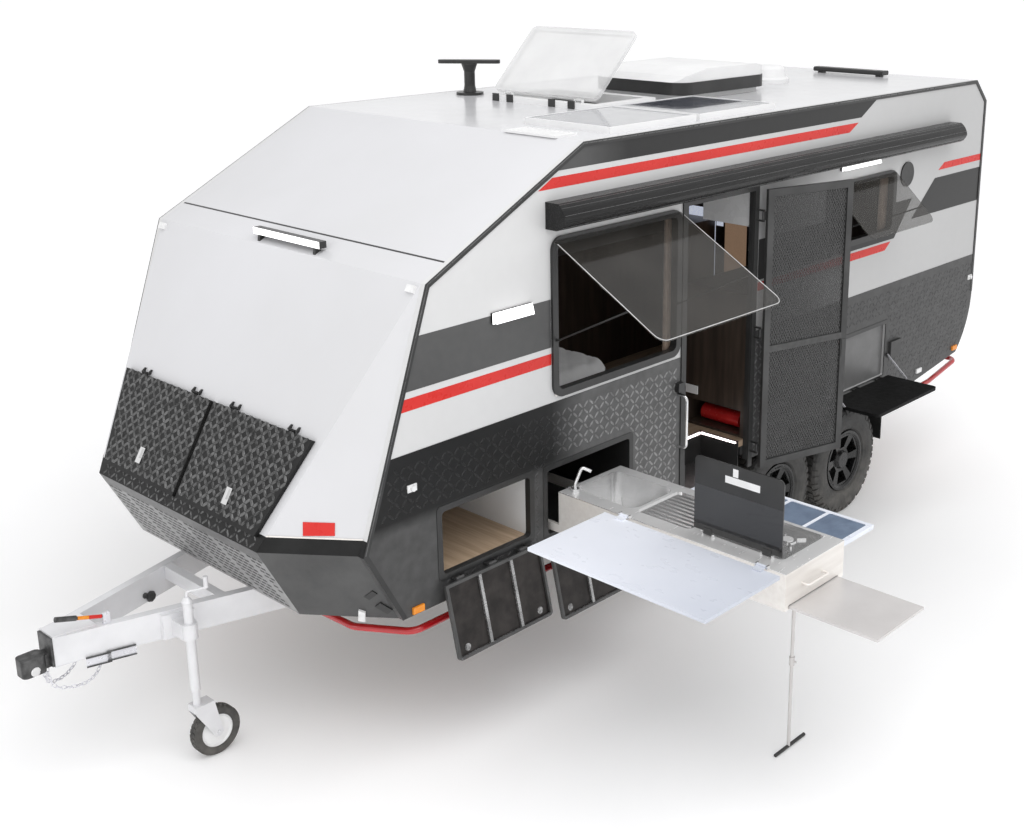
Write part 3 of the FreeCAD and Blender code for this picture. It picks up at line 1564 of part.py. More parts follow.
def picnic_table():
    """The fold-down table, a framed leaf held level."""
    y0 = TABLE_AXIS_Y + 12
    y1 = TABLE_AXIS_Y + size("table_depth")
    z1 = TABLE_Z + 12
    x0 = -size("table_rear")
    x1 = -size("table_front")
    leaf = rounded(box(x0, x1, y0, y1, z1 - TABLE_THICK, z1), 30, (0, 0, 1),
                   lambda spot: spot.y > float(y0) + 40)
    hollow = box(x0 + 18, x1 - 18, y0 + 18, y1 - 18, z1 - TABLE_THICK - 1, z1 - 6)
    pieces = [cut(leaf, hollow)]
    for share in (0.33, 0.67):
        x = x0 + (x1 - x0) * share
        pieces.append(box(x - 10, x + 10, y0 + 17, y1 - 17, z1 - TABLE_THICK + 2, z1 - 5))
    bores = []
    for x in TABLE_HINGES:
        pieces.append(rod("X", x, TABLE_AXIS_Y, TABLE_Z, KNUCKLE_R, 50))
        pieces.append(box(x, x + 50, TABLE_AXIS_Y, y0 + 1, TABLE_Z - 6, TABLE_Z + 6))
        bores.append(rod("X", x - 1, TABLE_AXIS_Y, TABLE_Z, PIN_R + GAP, 52))
    return cut(fuse(*pieces), *bores)


publish("picnic_table", picnic_table())


def table_stays():
    """Two flat links that hang from the surround and meet the table's edges."""
    made = []
    for x in STAY_SIDES:
        link = cut(box(x, x + 5, STAY_Y - 6, STAY_Y + 6, STAY_Z - STAY_LONG, STAY_Z + 8),
                   rod("X", x - 1, STAY_Y, STAY_Z, 3 + GAP, 7))
        made.append(swung(link, (0, STAY_Y, STAY_Z), (1, 0, 0), STAY_ANGLE))
    return made


publish("table_stays", *table_stays())


# Windows

WINDOW_PROUD = 16
PANE = size("pane")
PROP_R = 5


def window_frame(letter):
    """A window's frame: the face ring and the lip through the wall."""
    ring = cut(window_area(letter, 0, WINDOW_CORNER, HALF, HALF + WINDOW_PROUD),
               window_area(letter, FRAME, WINDOW_CORNER - 35, HALF - 1, HALF + WINDOW_PROUD + 1))
    lip = cut(window_area(letter, FRAME / 2, WINDOW_CORNER - 15, INNER, HALF + 1),
              window_area(letter, FRAME, WINDOW_CORNER - 35, INNER - 1, HALF + 2))
    return fuse(ring, lip)


def open_pane(letter, x_front, x_rear, length):
    """An acrylic pane propped open from the top of its frame."""
    hinge_y = HALF + WINDOW_PROUD + GAP
    hinge_z = size(f"window_top_{letter}") - 20
    pane = rounded(box(-x_rear, -x_front, hinge_y, hinge_y + PANE, hinge_z - length, hinge_z), 60,
                   (0, 1, 0), lambda spot: spot.z < float(hinge_z) - 100)
    return swung(pane, (0, hinge_y, hinge_z), (1, 0, 0), size(f"pane_angle_{letter}"))


def pane_props(letter, reach, drop):
    """The two telescopic props from the frame's sides up to the pane."""
    angle = math.radians(float(size(f"pane_angle_{letter}")))
    hinge_y = HALF + WINDOW_PROUD + GAP
    hinge_z = size(f"window_top_{letter}") - 20
    below = PROP_R + GAP
    end_y = hinge_y + reach * math.sin(angle) - below * math.cos(angle)
    end_z = hinge_z - reach * math.cos(angle) - below * math.sin(angle)
    made = []
    for x in (-size(f"window_front_{letter}") - 28, 28 - size(f"window_rear_{letter}")):
        made.append(strut((x, HALF + WINDOW_PROUD + 6, hinge_z - drop), (x, end_y, end_z), PROP_R))
        made.append(rod("Y", x, HALF + WINDOW_PROUD, hinge_z - drop, 9, 8))
    return made


def shut_pane(letter):
    return mirrored(window_area(letter, FRAME + GAP, WINDOW_CORNER - 35, INNER + 10, INNER + 10 + PANE))


PANE_A = (1262, 2278, 812)
PANE_B = (3812, 4625, 435)
publish("window_panes", open_pane("a", *PANE_A), open_pane("b", *PANE_B), shut_pane("a"), shut_pane("b"))

frame_a = fuse(window_frame("a"), *pane_props("a", 560, 520))
frame_b = fuse(window_frame("b"), *pane_props("b", 300, 300))
bay_surround = fuse(locker_frame("bay"), locker_hinges("bay"))
galley_surround = fuse(locker_frame("galley"), locker_hinges("galley"))


# Front hatches

def slope_point(run, y, height):
    spot = front_point(run, y) + SLOPE_NORMAL * height
    return (spot.x, spot.y, spot.z)


FRONT_KNUCKLES = (150, 640)


HATCH_PIVOT = HATCH_HIGH - 10


def front_hatch():
    """The left hatch: a framed plate with knuckles along its upper edge."""
    plate = front_plate(HATCH_TOP_RUN + 10, HATCH_FOOT_RUN, FRONT_MARGIN, 14, HATCH_LOW, HATCH_HIGH)
    hollow = front_plate(HATCH_TOP_RUN + 34, HATCH_FOOT_RUN - 24, FRONT_MARGIN + 24, 38,
                         HATCH_LOW - 1, HATCH_HIGH - 4)
    made = plate.cut(hollow)
    for y in FRONT_KNUCKLES:
        axis = front_point(HATCH_TOP_RUN, y) + SLOPE_NORMAL * HATCH_PIVOT
        knuckle = Part.makeCylinder(7, 50, axis, Vector(0, 1, 0))
        tongue = Part.Face(Part.makePolygon([
            Vector(*slope_point(run, y, height))
            for run, height in ((HATCH_TOP_RUN, HATCH_PIVOT - 3), (HATCH_TOP_RUN + 12, HATCH_PIVOT - 3),
                                (HATCH_TOP_RUN + 12, HATCH_PIVOT + 3), (HATCH_TOP_RUN, HATCH_PIVOT + 3),
                                (HATCH_TOP_RUN, HATCH_PIVOT - 3))])).extrude(Vector(0, 50, 0))
        bore = Part.makeCylinder(3 + float(GAP), 52, axis - Vector(0, 1, 0), Vector(0, 1, 0))
        made = made.fuse(knuckle).fuse(tongue).cut(bore)
    return made


def front_hinges():
    """Lugs and pins above the left hatch, standing on the front face."""
    made = None
    for y in FRONT_KNUCKLES:
        axis = front_point(HATCH_TOP_RUN, y) + SLOPE_NORMAL * HATCH_PIVOT
        pin = Part.makeCylinder(3, 70, axis - Vector(0, 10, 0), Vector(0, 1, 0))
        made = pin if made is None else made.fuse(pin)
        for low in (y - 10, y + 52):
            lug = Part.Face(Part.makePolygon([
                Vector(*slope_point(HATCH_TOP_RUN + run, low, height))
                for run, height in ((-26, 0), (-2, 0), (4, HATCH_PIVOT - 4), (4, HATCH_PIVOT + 4),
                                    (-4, HATCH_PIVOT + 4), (-26, 8), (-26, 0))])).extrude(Vector(0, 8, 0))
            made = made.fuse(lug)
    return made


front_hatch_left = front_hatch()
publish("front_hatch_left", solid_of(front_hatch_left))
publish("front_hatch_right", solid_of(front_hatch_left.mirror(Vector(0, 0, 0), Vector(0, 1, 0))))
boot_hinges = front_hinges()
publish("opening_frames", frame_a, frame_b, mirrored(window_frame("a")), mirrored(window_frame("b")),
        bay_surround, mirrored(bay_surround), galley_surround, table_surround(),
        solid_of(boot_hinges), solid_of(boot_hinges.mirror(Vector(0, 0, 0), Vector(0, 1, 0))))


# Roof

ROOF_HATCH_X = -size("hatch_front")
ROOF_HINGE_Z = ROOF + 52
ROOF_HINGES = (size("hatch_right") + 90, size("hatch_left") - 140)


def hatch_surround():
    """The moulded upstand round the roof opening, with the lid's hinge lugs."""
    low = ROOF
    x0 = -size("hatch_rear")
    y0 = size("hatch_right")
    y1 = size("hatch_left")
    outer = rounded(box(x0 - 45, ROOF_HATCH_X + 45, y0 - 45, y1 + 45, low, low + 34), 50, (0, 0, 1))
    neck = box(x0 + 0.5, ROOF_HATCH_X - 0.5, y0 + 0.5, y1 - 0.5, low - WALL, low + 1)
    hole = box(x0 + 22, ROOF_HATCH_X - 22, y0 + 22, y1 - 22, low - WALL - 5, low + 60)
    pieces = [cut(fuse(outer, neck), hole)]
    for level in ROOF_HINGES:
        for side in (level - 12, level + 52):
            pieces.append(box(ROOF_HATCH_X + 14, ROOF_HATCH_X + 26, side, side + 10, low + 33, ROOF_HINGE_Z + 6))
        pieces.append(rod("Y", ROOF_HATCH_X + 20, level - 12, ROOF_HINGE_Z, PIN_R, 74))
    return fuse(*pieces)


publish("roof_hatch_frame", hatch_surround())


def roof_hatch_lid():
    """The clear domed lid in its border, drawn shut and raised."""
    x0 = -size("hatch_rear") - 25
    x1 = ROOF_HATCH_X + 8
    y0 = size("hatch_right") - 25
    y1 = size("hatch_left") + 25
    low = ROOF + 40
    outer = rounded(box(x0, x1, y0, y1, low, low + 26), 40, (0, 0, 1))
    hollow = box(x0 + 30, x1 - 30, y0 + 30, y1 - 30, low - 1, low + 20)
    pieces = [cut(outer, hollow)]
    bores = []
    for level in ROOF_HINGES:
        pieces.append(rod("Y", ROOF_HATCH_X + 20, level, ROOF_HINGE_Z, KNUCKLE_R, 50))
        pieces.append(box(x1 - 2, ROOF_HATCH_X + 20, level, level + 50, ROOF_HINGE_Z - 5, ROOF_HINGE_Z + 5))
        bores.append(rod("Y", ROOF_HATCH_X + 20, level - 1, ROOF_HINGE_Z, PIN_R + GAP, 52))
    shut = cut(fuse(*pieces), *bores)
    return swung(shut, (ROOF_HATCH_X + 20, 0, ROOF_HINGE_Z), (0, 1, 0), size("hatch_angle"))


publish("roof_hatch_lid", roof_hatch_lid())


AIR_FRONT = -3200
AIR_REAR = -4140
AIR_RIGHT = -350
AIR_LEFT = 425
AIR_BAND_LOW = ROOF + 34
AIR_BAND_HIGH = ROOF + 114


def air_conditioner():
    """The rooftop unit: a plinth, a dark band with rounded corners and a raked cover."""
    plinth = rounded(box(AIR_REAR + 40, AIR_FRONT - 40, AIR_RIGHT + 30, AIR_LEFT - 45, ROOF, AIR_BAND_LOW + 1),
                     60, (0, 0, 1))
    band = rounded(box(AIR_REAR, AIR_FRONT, AIR_RIGHT, AIR_LEFT, AIR_BAND_LOW, AIR_BAND_HIGH), 110, (0, 0, 1))
    cover = prism("XZ", AIR_RIGHT + 6, AIR_LEFT - AIR_RIGHT - 12, [
        (AIR_FRONT - 6, AIR_BAND_HIGH - 1),
        (AIR_FRONT - 60, AIR_BAND_HIGH + 40),
        (AIR_FRONT - 260, AIR_BAND_HIGH + 76),
        (AIR_REAR + 130, AIR_BAND_HIGH + 76),
        (AIR_REAR + 6, AIR_BAND_HIGH + 40),
        (AIR_REAR + 6, AIR_BAND_HIGH - 1),
    ])
    rim = rounded(box(AIR_REAR + 6, AIR_FRONT - 6, AIR_RIGHT + 6, AIR_LEFT - 6, AIR_BAND_HIGH - 2,
                      AIR_BAND_HIGH + 80), 104, (0, 0, 1))
    return fuse(plinth, band, common(cover, rim))


publish("air_conditioner", air_conditioner())

PANEL_RIGHT = AIR_LEFT + 5
PANEL_LEFT = 1070
PANEL_FRONT = 1800
PANEL_LONG = 730
PANEL_GAP = 30


def solar_panels():
    """Two framed panels, one behind the other."""
    made = []
    for index in range(2):
        front = -PANEL_FRONT - (PANEL_LONG + PANEL_GAP) * index
        tray = box(front - PANEL_LONG, front, PANEL_RIGHT, PANEL_LEFT, ROOF, ROOF + 35)
        glass = box(front - PANEL_LONG + 12, front - 12, PANEL_RIGHT + 12, PANEL_LEFT - 12, ROOF + 32, ROOF + 40)
        made.append(cut(tray, glass))
    return made


publish("solar_panels", *solar_panels())

VENT = (-4620, 80, ROOF)
MAST_X = -2620
MAST_Y = -910
WING_TURN = 129
BAR_X = 419 - LENGTH
GRILLE_FRONT = -1490
GRILLE_RIGHT = 590


def roof_fittings():
    """The round vent, the antenna with its turned wing, the low bar and the inlet grille."""
    vent = turned("Z", [(0, 0), (0, 150), (26, 150), (40, 132), (96, 118), (118, 96), (124, 0)], VENT)
    mast = turned("Z", [(0, 0), (0, 90), (16, 90), (20, 44), (60, 36), (150, 36), (196, 52), (204, 52), (204, 0)],
                  (MAST_X, MAST_Y, ROOF))
    wing = rounded(box(-205, 205, -36, 36, ROOF + 203, ROOF + 226), 30, (0, 0, 1))
    wing = moved(wing, MAST_X, MAST_Y, 0, Rotation(Vector(0, 0, 1), WING_TURN))
    bar = fuse(rounded(box(BAR_X - 45, BAR_X + 45, -80, 530, ROOF + 12, ROOF + 46), 14, (0, 1, 0)),
               box(BAR_X - 25, BAR_X + 25, -50, -10, ROOF, ROOF + 13),
               box(BAR_X - 25, BAR_X + 25, 460, 500, ROOF, ROOF + 13))
    grille = box(GRILLE_FRONT - 165, GRILLE_FRONT, GRILLE_RIGHT, GRILLE_RIGHT + 380, ROOF, ROOF + 12)
    slots = [box(GRILLE_FRONT - 155, GRILLE_FRONT - 10, GRILLE_RIGHT + 20 + 34 * index,
                 GRILLE_RIGHT + 36 + 34 * index, ROOF + 5, ROOF + 14) for index in range(10)]
    return [vent, fuse(mast, wing), bar, cut(grille, *slots)]


publish("roof_fittings", *roof_fittings())




# Awning, lamps, bars and side fittings

def awning():
    """The roll-out awning's cassette along the door side."""
    side = size("awning_size")
    low = size("awning_bottom")
    return prism("YZ", -size("awning_rear"), size("awning_rear") - size("awning_front"), [
        (HALF, low),
        (HALF + side * 0.55, low),
        (HALF + side, low + side * 0.42, -80),
        (HALF + side * 0.62, low + side, -110),
        (HALF, low + side),
    ])


publish("awning", awning())


def side_lamp(x_front, x_rear, low, high):
    """A slim side lamp with a raised lens."""
    base = box(-x_rear, -x_front, HALF, HALF + 14, low, high)
    lens = prism("XZ", HALF + 13, 24, [
        (8 - x_rear, low + 4),
        (-x_front - 8, low + 4),
        (-x_front - 20, high - 4),
        (20 - x_rear, high - 4),
    ])
    return fuse(base, lens)


def slope_lamp(run, y0, y1, width, height):
    """A block lamp that lies on the front face."""
    ring = [front_point(run, y0), front_point(run, y1), front_point(run + width, y1),
            front_point(run + width, y0)]
    return solid_of(Part.Face(Part.makePolygon(ring + ring[:1])).extrude(SLOPE_NORMAL * height))


BROW_X = -size("brow_setback")
BROW_RISE = (ROOF - size("brow_height")) / (size("roof_setback") - size("brow_setback"))
BAR_LOW = size("brow_height") + 41
BAR_RIGHT = -235
BAR_LEFT = 335


def brow_height_at(x):
    """The height of the brow strip's face at a place along it."""
    return size("brow_height") + (BROW_X - x) * BROW_RISE


def brow_lamp_bar():
    """The lamp bar that stands on two feet on the brow strip."""
    pieces = [box(BROW_X - 58, BROW_X - 14, BAR_RIGHT, BAR_LEFT, BAR_LOW, BAR_LOW + 35)]
    for y in (BAR_RIGHT + 35, BAR_LEFT - 55):
        pieces.append(prism("XZ", y, 20, [
            (BROW_X - 48, brow_height_at(BROW_X - 48)),
            (BROW_X - 12, brow_height_at(BROW_X - 12)),
            (BROW_X - 18, BAR_LOW + 5),
            (BROW_X - 42, BAR_LOW + 5),
        ]))
    return fuse(*pieces)


BED_LAMP = (838, 1112, 2138, 2194)
TABLE_LAMP = (3940, 4402, 2505, 2540)
MARKER_Z = size("clad_height") - 175
MARKERS = (-300, 59 - LENGTH)
AMBERS = ((-340, BOTTOM + 10), (739 - LENGTH, BOTTOM + 60), (199 - LENGTH, BOTTOM + 115))


def lamps():
    """Side lamps, markers, tail lamps and the brow lamp bar."""
    made = [side_lamp(*BED_LAMP), side_lamp(*TABLE_LAMP), mirrored(side_lamp(*BED_LAMP))]
    for x in MARKERS:
        marker = fuse(box(x - 28, x + 28, HALF + CLAD, HALF + CLAD + 6, MARKER_Z - 18, MARKER_Z + 18),
                      rod("Y", x, HALF + CLAD + 5, MARKER_Z, 14, 14))
        made += [marker, mirrored(marker)]
    for x, low in AMBERS:
        amber = box(x, x + 70, HALF + CLAD, HALF + CLAD + 12, low, low + 34)
        made += [amber, mirrored(amber)]
    made.append(brow_lamp_bar())
    corner = slope_lamp(20, INNER - 70, INNER - 14, 36, 16)
    tail_low = size("knee_height") + 90
    tail = rounded(box(-LENGTH - 26, -LENGTH, HALF - 350, HALF - 90, tail_low, tail_low + 120), 20, (1, 0, 0))
    return made + [corner, mirrored(corner), tail, mirrored(tail)]


publish("lamps", *lamps())

TUBE_R_BAR = 19
BAR_LEVEL = BEAM_BOTTOM + 12
BAR_Y = HALF - 66


def tube_bars():
    """Red tubes low along both sides and round the rear, on brackets from the rails."""
    rail = size("rail_half_spacing") + size("beam_width")
    front_end = 195 - size("arch_front")
    front = tube_path([(-150, beam_outer(-150) + 6.5, BAR_LEVEL), (-165, INNER - 300, BAR_LEVEL),
                       (-330, BAR_Y, BAR_LEVEL), (front_end, BAR_Y, BAR_LEVEL)], TUBE_R_BAR, 90)
    rear = tube_path([(959 - LENGTH, BAR_Y, BAR_LEVEL + 10), (469 - LENGTH, BAR_Y, BAR_LEVEL + 35),
                      (19 - LENGTH, BAR_Y - 20, BAR_LEVEL + 100), (-LENGTH - 41, 0, BAR_LEVEL + 100)],
                     TUBE_R_BAR, 60)
    brackets = [box(x - 20, x + 20, rail, BAR_Y, BAR_LEVEL - 12, BAR_LEVEL + 12)
                for x in (-700, -1500, front_end + 570)]
    front = fuse(front, *brackets)
    ends = [box(x - 20, x + 20, rail, BAR_Y, BAR_LEVEL, BAR_LEVEL + 26) for x in (899 - LENGTH, 689 - LENGTH)]
    rear = fuse(rear, *ends)
    return fuse(front, mirrored(front), rear, mirrored(rear))


publish("tube_bars", tube_bars())

HANDLE_X = 61 - size("door_front")
HANDLE_LOW = FLOOR + 165
HANDLE_HIGH = FLOOR + 485


def body_fittings():
    """Grab handle, lock bracket, speaker, inlet cover and mud flaps."""
    handle = tube_path([(HANDLE_X, HALF + CLAD, HANDLE_LOW), (HANDLE_X, HALF + 66, HANDLE_LOW),
                        (HANDLE_X, HALF + 66, HANDLE_HIGH), (HANDLE_X, HALF + CLAD, HANDLE_HIGH)], 10, 30)
    bracket = box(HANDLE_X - 17, HANDLE_X + 31, HALF + CLAD, HALF + 34, HANDLE_HIGH + 23, HANDLE_HIGH + 77)
    speaker = rod("Y", -size("window_rear_b") - 150, HALF, size("window_top_b") - 55, 86, 10)
    inlet = box(-size("table_rear") - 180, -size("table_rear") - 40, HALF + CLAD, HALF + 24,
                size("table_height") + 125, size("table_height") + 245)
    flap_x = -size("arch_rear") - 141
    flap = box(flap_x, flap_x + 6, HALF - 288, HALF - 42, size("wheel_radius") + 35,
               FLOOR - size("floor_thickness"))
    return [handle, bracket, speaker, inlet, flap, mirrored(flap)]


publish("body_fittings", *body_fittings())


# Interior seen through the door, windows and hatches

DOOR_REAR = -size("door_rear")
BED_FOOT = 100 - size("window_rear_a")
BED_HEAD = -300
BED_HALF = INNER - 360
BED_TOP = size("bay_top") + 118
CABIN_REAR = -size("window_rear_b") - (LENGTH - size("window_rear_b")) / 5.076
BENCH_WALL = 10 - size("door_front")
LOCKER_LOW = FLOOR + 1360
LOCKER_HIGH = ROOF - 156
SEAT_TOP = FLOOR + 370
NICHE_LOW = FLOOR + 15
BOTTLE_R = 52


def furniture():
    """Bed base, cabinets, lockers and seats."""
    bed = box(BED_FOOT, BED_HEAD, -BED_HALF, BED_HALF, size("bay_top") - LIP + LINER, BED_TOP)
    niche = box(DOOR_REAR - 260, DOOR_REAR - 9, INNER - 465, INNER - 35, NICHE_LOW, NICHE_LOW + 160)
    near = cut(box(DOOR_REAR - 700, DOOR_REAR - 10, INNER - 480, INNER, FLOOR, FLOOR + 930), niche)
    upper = box(DOOR_REAR - 700, DOOR_REAR - 10, INNER - 360, INNER, LOCKER_LOW, LOCKER_HIGH)
    basin = box(DOOR_REAR - 100, DOOR_REAR + 300, 120 - INNER, 480 - INNER, FLOOR + 780, FLOOR + 910)
    bench = cut(box(CABIN_REAR, BENCH_WALL, -INNER, 540 - INNER, FLOOR, FLOOR + 900), basin)
    lockers = box(CABIN_REAR, BENCH_WALL, -INNER, 340 - INNER, LOCKER_LOW, LOCKER_HIGH)
    seat = fuse(box(CABIN_REAR + 20, CABIN_REAR + 1140, INNER - 520, INNER, FLOOR, SEAT_TOP),
                box(CABIN_REAR + 20, CABIN_REAR + 200, INNER - 520, INNER, SEAT_TOP - 1, SEAT_TOP + 510))
    bottle = rod("Y", DOOR_REAR - 130, INNER - 400, NICHE_LOW + BOTTLE_R, BOTTLE_R, 300)
    return [bed, near, upper, bench, lockers, seat, bottle]


publish("furniture", *furniture())


def washroom_partition():
    """The wall that closes off the washroom at the rear, with its doorway."""
    wall = box(CABIN_REAR - 60, CABIN_REAR - 30, -INNER, INNER, FLOOR, ROOF - 40)
    return cut(wall, box(CABIN_REAR - 70, CABIN_REAR - 20, -300, 320, FLOOR - 1, LOCKER_HIGH - 100))


publish("washroom_partition", washroom_partition())

MATTRESS_THICK = 180


def mattress():
    """The mattress on the bed base, its foot corners rounded."""
    block = box(BED_FOOT + 5, BED_HEAD - 10, 10 - BED_HALF, BED_HALF - 10, BED_TOP, BED_TOP + MATTRESS_THICK)
    return rounded(block, 130, (0, 0, 1), lambda spot: spot.x < float(BED_FOOT) + 200)


publish("mattress", mattress())


def curtains():
    """Gathered curtains at both sides of the rear window and behind the bed window."""
    made = []
    for edge, way, letter in ((15, 1, "front_b"), (15, -1, "rear_b"), (10, -1, "rear_a")):
        side = letter[-1]
        near = size(f"window_{letter}") + edge * way
        far = near + (95 if side == "b" else 65) * way
        low = size(f"window_bottom_{side}") - (25 if side == "b" else 7)
        high = size(f"window_top_{side}") + (5 if side == "b" else 0)
        made.append(box(-max(near, far), -min(near, far), INNER - 40, INNER - GAP, low, high))
    return made


publish("curtains", *curtains())




# Checks and files

doc.recompute()
for made in doc.Objects:
    if "Invalid" in made.State or "Error" in made.State:
        raise RuntimeError(f"{made.Label} failed: {made.State}")
for made in published:
    if made.Shape.isNull() or not made.Shape.isValid():
        raise RuntimeError(f"{made.Label} has no valid shape")

os.makedirs("parts", exist_ok=True)
for made in published:
    made.Shape.exportStep(os.path.join("parts", made.Label + ".step"))
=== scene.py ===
"""Looks of the off-road caravan: materials, raised tread, stripes, tyres, bedding, light and camera."""
import math

import bpy
from mathutils import Matrix, Vector


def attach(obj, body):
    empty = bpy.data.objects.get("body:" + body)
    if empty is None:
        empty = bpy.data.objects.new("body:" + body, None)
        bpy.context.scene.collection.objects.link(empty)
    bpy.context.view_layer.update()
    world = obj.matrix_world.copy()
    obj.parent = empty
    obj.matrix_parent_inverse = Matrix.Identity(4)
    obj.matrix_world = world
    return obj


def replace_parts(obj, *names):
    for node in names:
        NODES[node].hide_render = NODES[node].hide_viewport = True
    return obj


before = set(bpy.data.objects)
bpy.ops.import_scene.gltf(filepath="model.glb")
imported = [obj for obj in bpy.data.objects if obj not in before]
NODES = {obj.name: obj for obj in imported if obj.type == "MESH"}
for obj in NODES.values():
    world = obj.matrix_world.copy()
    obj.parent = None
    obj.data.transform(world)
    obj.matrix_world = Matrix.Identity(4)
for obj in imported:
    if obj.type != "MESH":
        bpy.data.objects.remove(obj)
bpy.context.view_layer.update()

MATERIALS = {}
ORIGIN = (1085, 0, 660)
FLOOR = -0.66


def at(x, y, z):
    """A drawing point in millimetres from the body's nose and the floor, in the row frame."""
    return Vector(((x - ORIGIN[0]) / 1000, y / 1000, (z - ORIGIN[2]) / 1000))


# Materials

def tree_of(name):
    """A new material, kept by its name, with its node tree and its shader."""
    made = bpy.data.materials.new(name)
    MATERIALS[name] = made
    made.use_nodes = True
    return made.node_tree, made.node_tree.nodes["Principled BSDF"]


def link(tree, source, target):
    tree.links.new(source, target)


def noise(tree, scale, detail=4.0, stretch=(1, 1, 1)):
    """Noise over the object's own coordinates."""
    place = tree.nodes.new("ShaderNodeTexCoord")
    mapped = tree.nodes.new("ShaderNodeMapping")
    mapped.inputs["Scale"].default_value = stretch
    made = tree.nodes.new("ShaderNodeTexNoise")
    made.inputs["Scale"].default_value = scale
    made.inputs["Detail"].default_value = detail
    link(tree, place.outputs["Object"], mapped.inputs["Vector"])
    link(tree, mapped.outputs["Vector"], made.inputs["Vector"])
    return made.outputs["Fac"]


def spread(tree, source, low, high, start=0.3, end=0.7):
    """A value that goes from low to high while its source goes from start to end."""
    made = tree.nodes.new("ShaderNodeMapRange")
    made.inputs["From Min"].default_value = start
    made.inputs["From Max"].default_value = end
    made.inputs["To Min"].default_value = low
    made.inputs["To Max"].default_value = high
    link(tree, source, made.inputs["Value"])
    return made.outputs["Result"]


def two_colours(tree, source, low, high, start=0.35, end=0.65):
    """A colour that goes from one to another as a factor rises."""
    made = tree.nodes.new("ShaderNodeValToRGB")
    made.color_ramp.elements[0].position = start
    made.color_ramp.elements[1].position = end
    made.color_ramp.elements[0].color = (*low, 1)
    made.color_ramp.elements[1].color = (*high, 1)
    link(tree, source, made.inputs["Fac"])
    return made.outputs["Color"]


def mixed(tree, factor, first, second):
    """Two colour outputs mixed by a factor."""
    made = tree.nodes.new("ShaderNodeMix")
    made.data_type = "RGBA"
    link(tree, factor, made.inputs["Factor"])
    link(tree, first, made.inputs[6])
    link(tree, second, made.inputs[7])
    return made.outputs[2]


def bumped(tree, bsdf, height, strength, distance):
    """Relief from a height output."""
    made = tree.nodes.new("ShaderNodeBump")
    made.inputs["Strength"].default_value = strength
    made.inputs["Distance"].default_value = distance
    link(tree, height, made.inputs["Height"])
    link(tree, made.outputs["Normal"], bsdf.inputs["Normal"])


def sums(tree, kind, *values):
    """A maths node over outputs or numbers."""
    made = tree.nodes.new("ShaderNodeMath")
    made.operation = kind
    for index, value in enumerate(values):
        if isinstance(value, (int, float)):
            made.inputs[index].default_value = value
        else:
            link(tree, value, made.inputs[index])
    return made.outputs[0]


def coordinate(tree, direction):
    """The distance of the shaded point along a direction, in metres."""
    place = tree.nodes.new("ShaderNodeTexCoord")
    made = tree.nodes.new("ShaderNodeVectorMath")
    made.operation = "DOT_PRODUCT"
    link(tree, place.outputs["Object"], made.inputs[0])
    made.inputs[1].default_value = direction
    return made.outputs["Value"]


def grey(value, tint=0.0):
    """A grey, with a share more blue."""
    return (value, value, value * (1 + tint))


def coloured(tree, bsdf, colour, scale, low, high):
    """Sets a shader's colour, and a gloss that varies by noise."""
    link(tree, colour, bsdf.inputs["Base Color"])
    link(tree, spread(tree, noise(tree, scale), low, high), bsdf.inputs["Roughness"])


def surface(name, low, high, rough, metal=0.0, patch=3.0, stretch=(1, 1, 1), span=0.06,
            grain=180.0, relief=0.05, depth=0.001, dust=0.0, **sockets):
    """A material whose colour, gloss and relief vary by noise; dust pales it near the floor.

    Low and high are colours or greys.
    """
    tree, bsdf = tree_of(name)
    low, high = (grey(shade) if isinstance(shade, float) else shade for shade in (low, high))
    colour = two_colours(tree, noise(tree, patch, 5.0, stretch), low, high)
    if dust:
        pale = tree.nodes.new("ShaderNodeRGB")
        pale.outputs[0].default_value = (0.30, 0.28, 0.25, 1)
        height = spread(tree, coordinate(tree, (0, 0, 1)), dust, 0.0, FLOOR, 0.1)
        blotch = spread(tree, noise(tree, 14.0), 0.2, 1.0)
        colour = mixed(tree, sums(tree, "MULTIPLY", height, blotch), colour, pale.outputs[0])
    link(tree, colour, bsdf.inputs["Base Color"])
    link(tree, spread(tree, noise(tree, patch * 7, 3.0, stretch), rough - span, rough + span),
         bsdf.inputs["Roughness"])
    bsdf.inputs["Metallic"].default_value = metal
    if relief:
        bumped(tree, bsdf, noise(tree, grain, 2.0, stretch), relief, depth)
    for socket, value in sockets.items():
        bsdf.inputs[socket.replace("_", " ")].default_value = value


surface("white_panel", grey(0.62, 0.02), grey(0.66, 0.03), 0.24, patch=0.7, span=0.03, grain=700,
        relief=0.02, Coat_Weight=0.2, Coat_Roughness=0.08)
surface("chequer_plate", 0.055, 0.075, 0.4, 0.2, patch=9, grain=420, relief=0.1)
surface("hatch_plate", 0.008, 0.014, 0.45, patch=9, grain=420, relief=0.1, Specular_IOR_Level=0.25)
surface("hatch_bars", 0.02, 0.15, 0.24, 0.45, patch=26, grain=500, relief=0.1, span=0.08)
surface("chin_plate", 0.06, 0.085, 0.42, 0.25, patch=5, grain=420, relief=0.1)
surface("slot_black", 0.045, 0.065, 0.6, patch=20, grain=500, relief=0.1)
surface("recess_grey", 0.13, 0.17, 0.42, 0.2, patch=4, grain=420, relief=0.08)
surface("black_trim", 0.016, 0.026, 0.34, patch=6, grain=600, relief=0.06)
surface("pane_edge", 0.45, 0.62, 0.2, patch=9, relief=0.0)
surface("highlight_grey", 0.09, 0.15, 0.3, 0.5, patch=6, grain=600, relief=0.06)
surface("black_metal", 0.018, 0.028, 0.4, patch=5, grain=900, relief=0.1)
surface("galvanised", grey(0.72, 0.02), grey(0.77, 0.02), 0.4, 0.3, patch=8, grain=60, relief=0.03)
surface("zinc_plate", grey(0.64, 0.05), grey(0.74, 0.05), 0.3, 0.45, patch=6, grain=300, relief=0.0)
surface("cast_iron", 0.05, 0.12, 0.45, 0.6, patch=26, grain=180, relief=0.3)
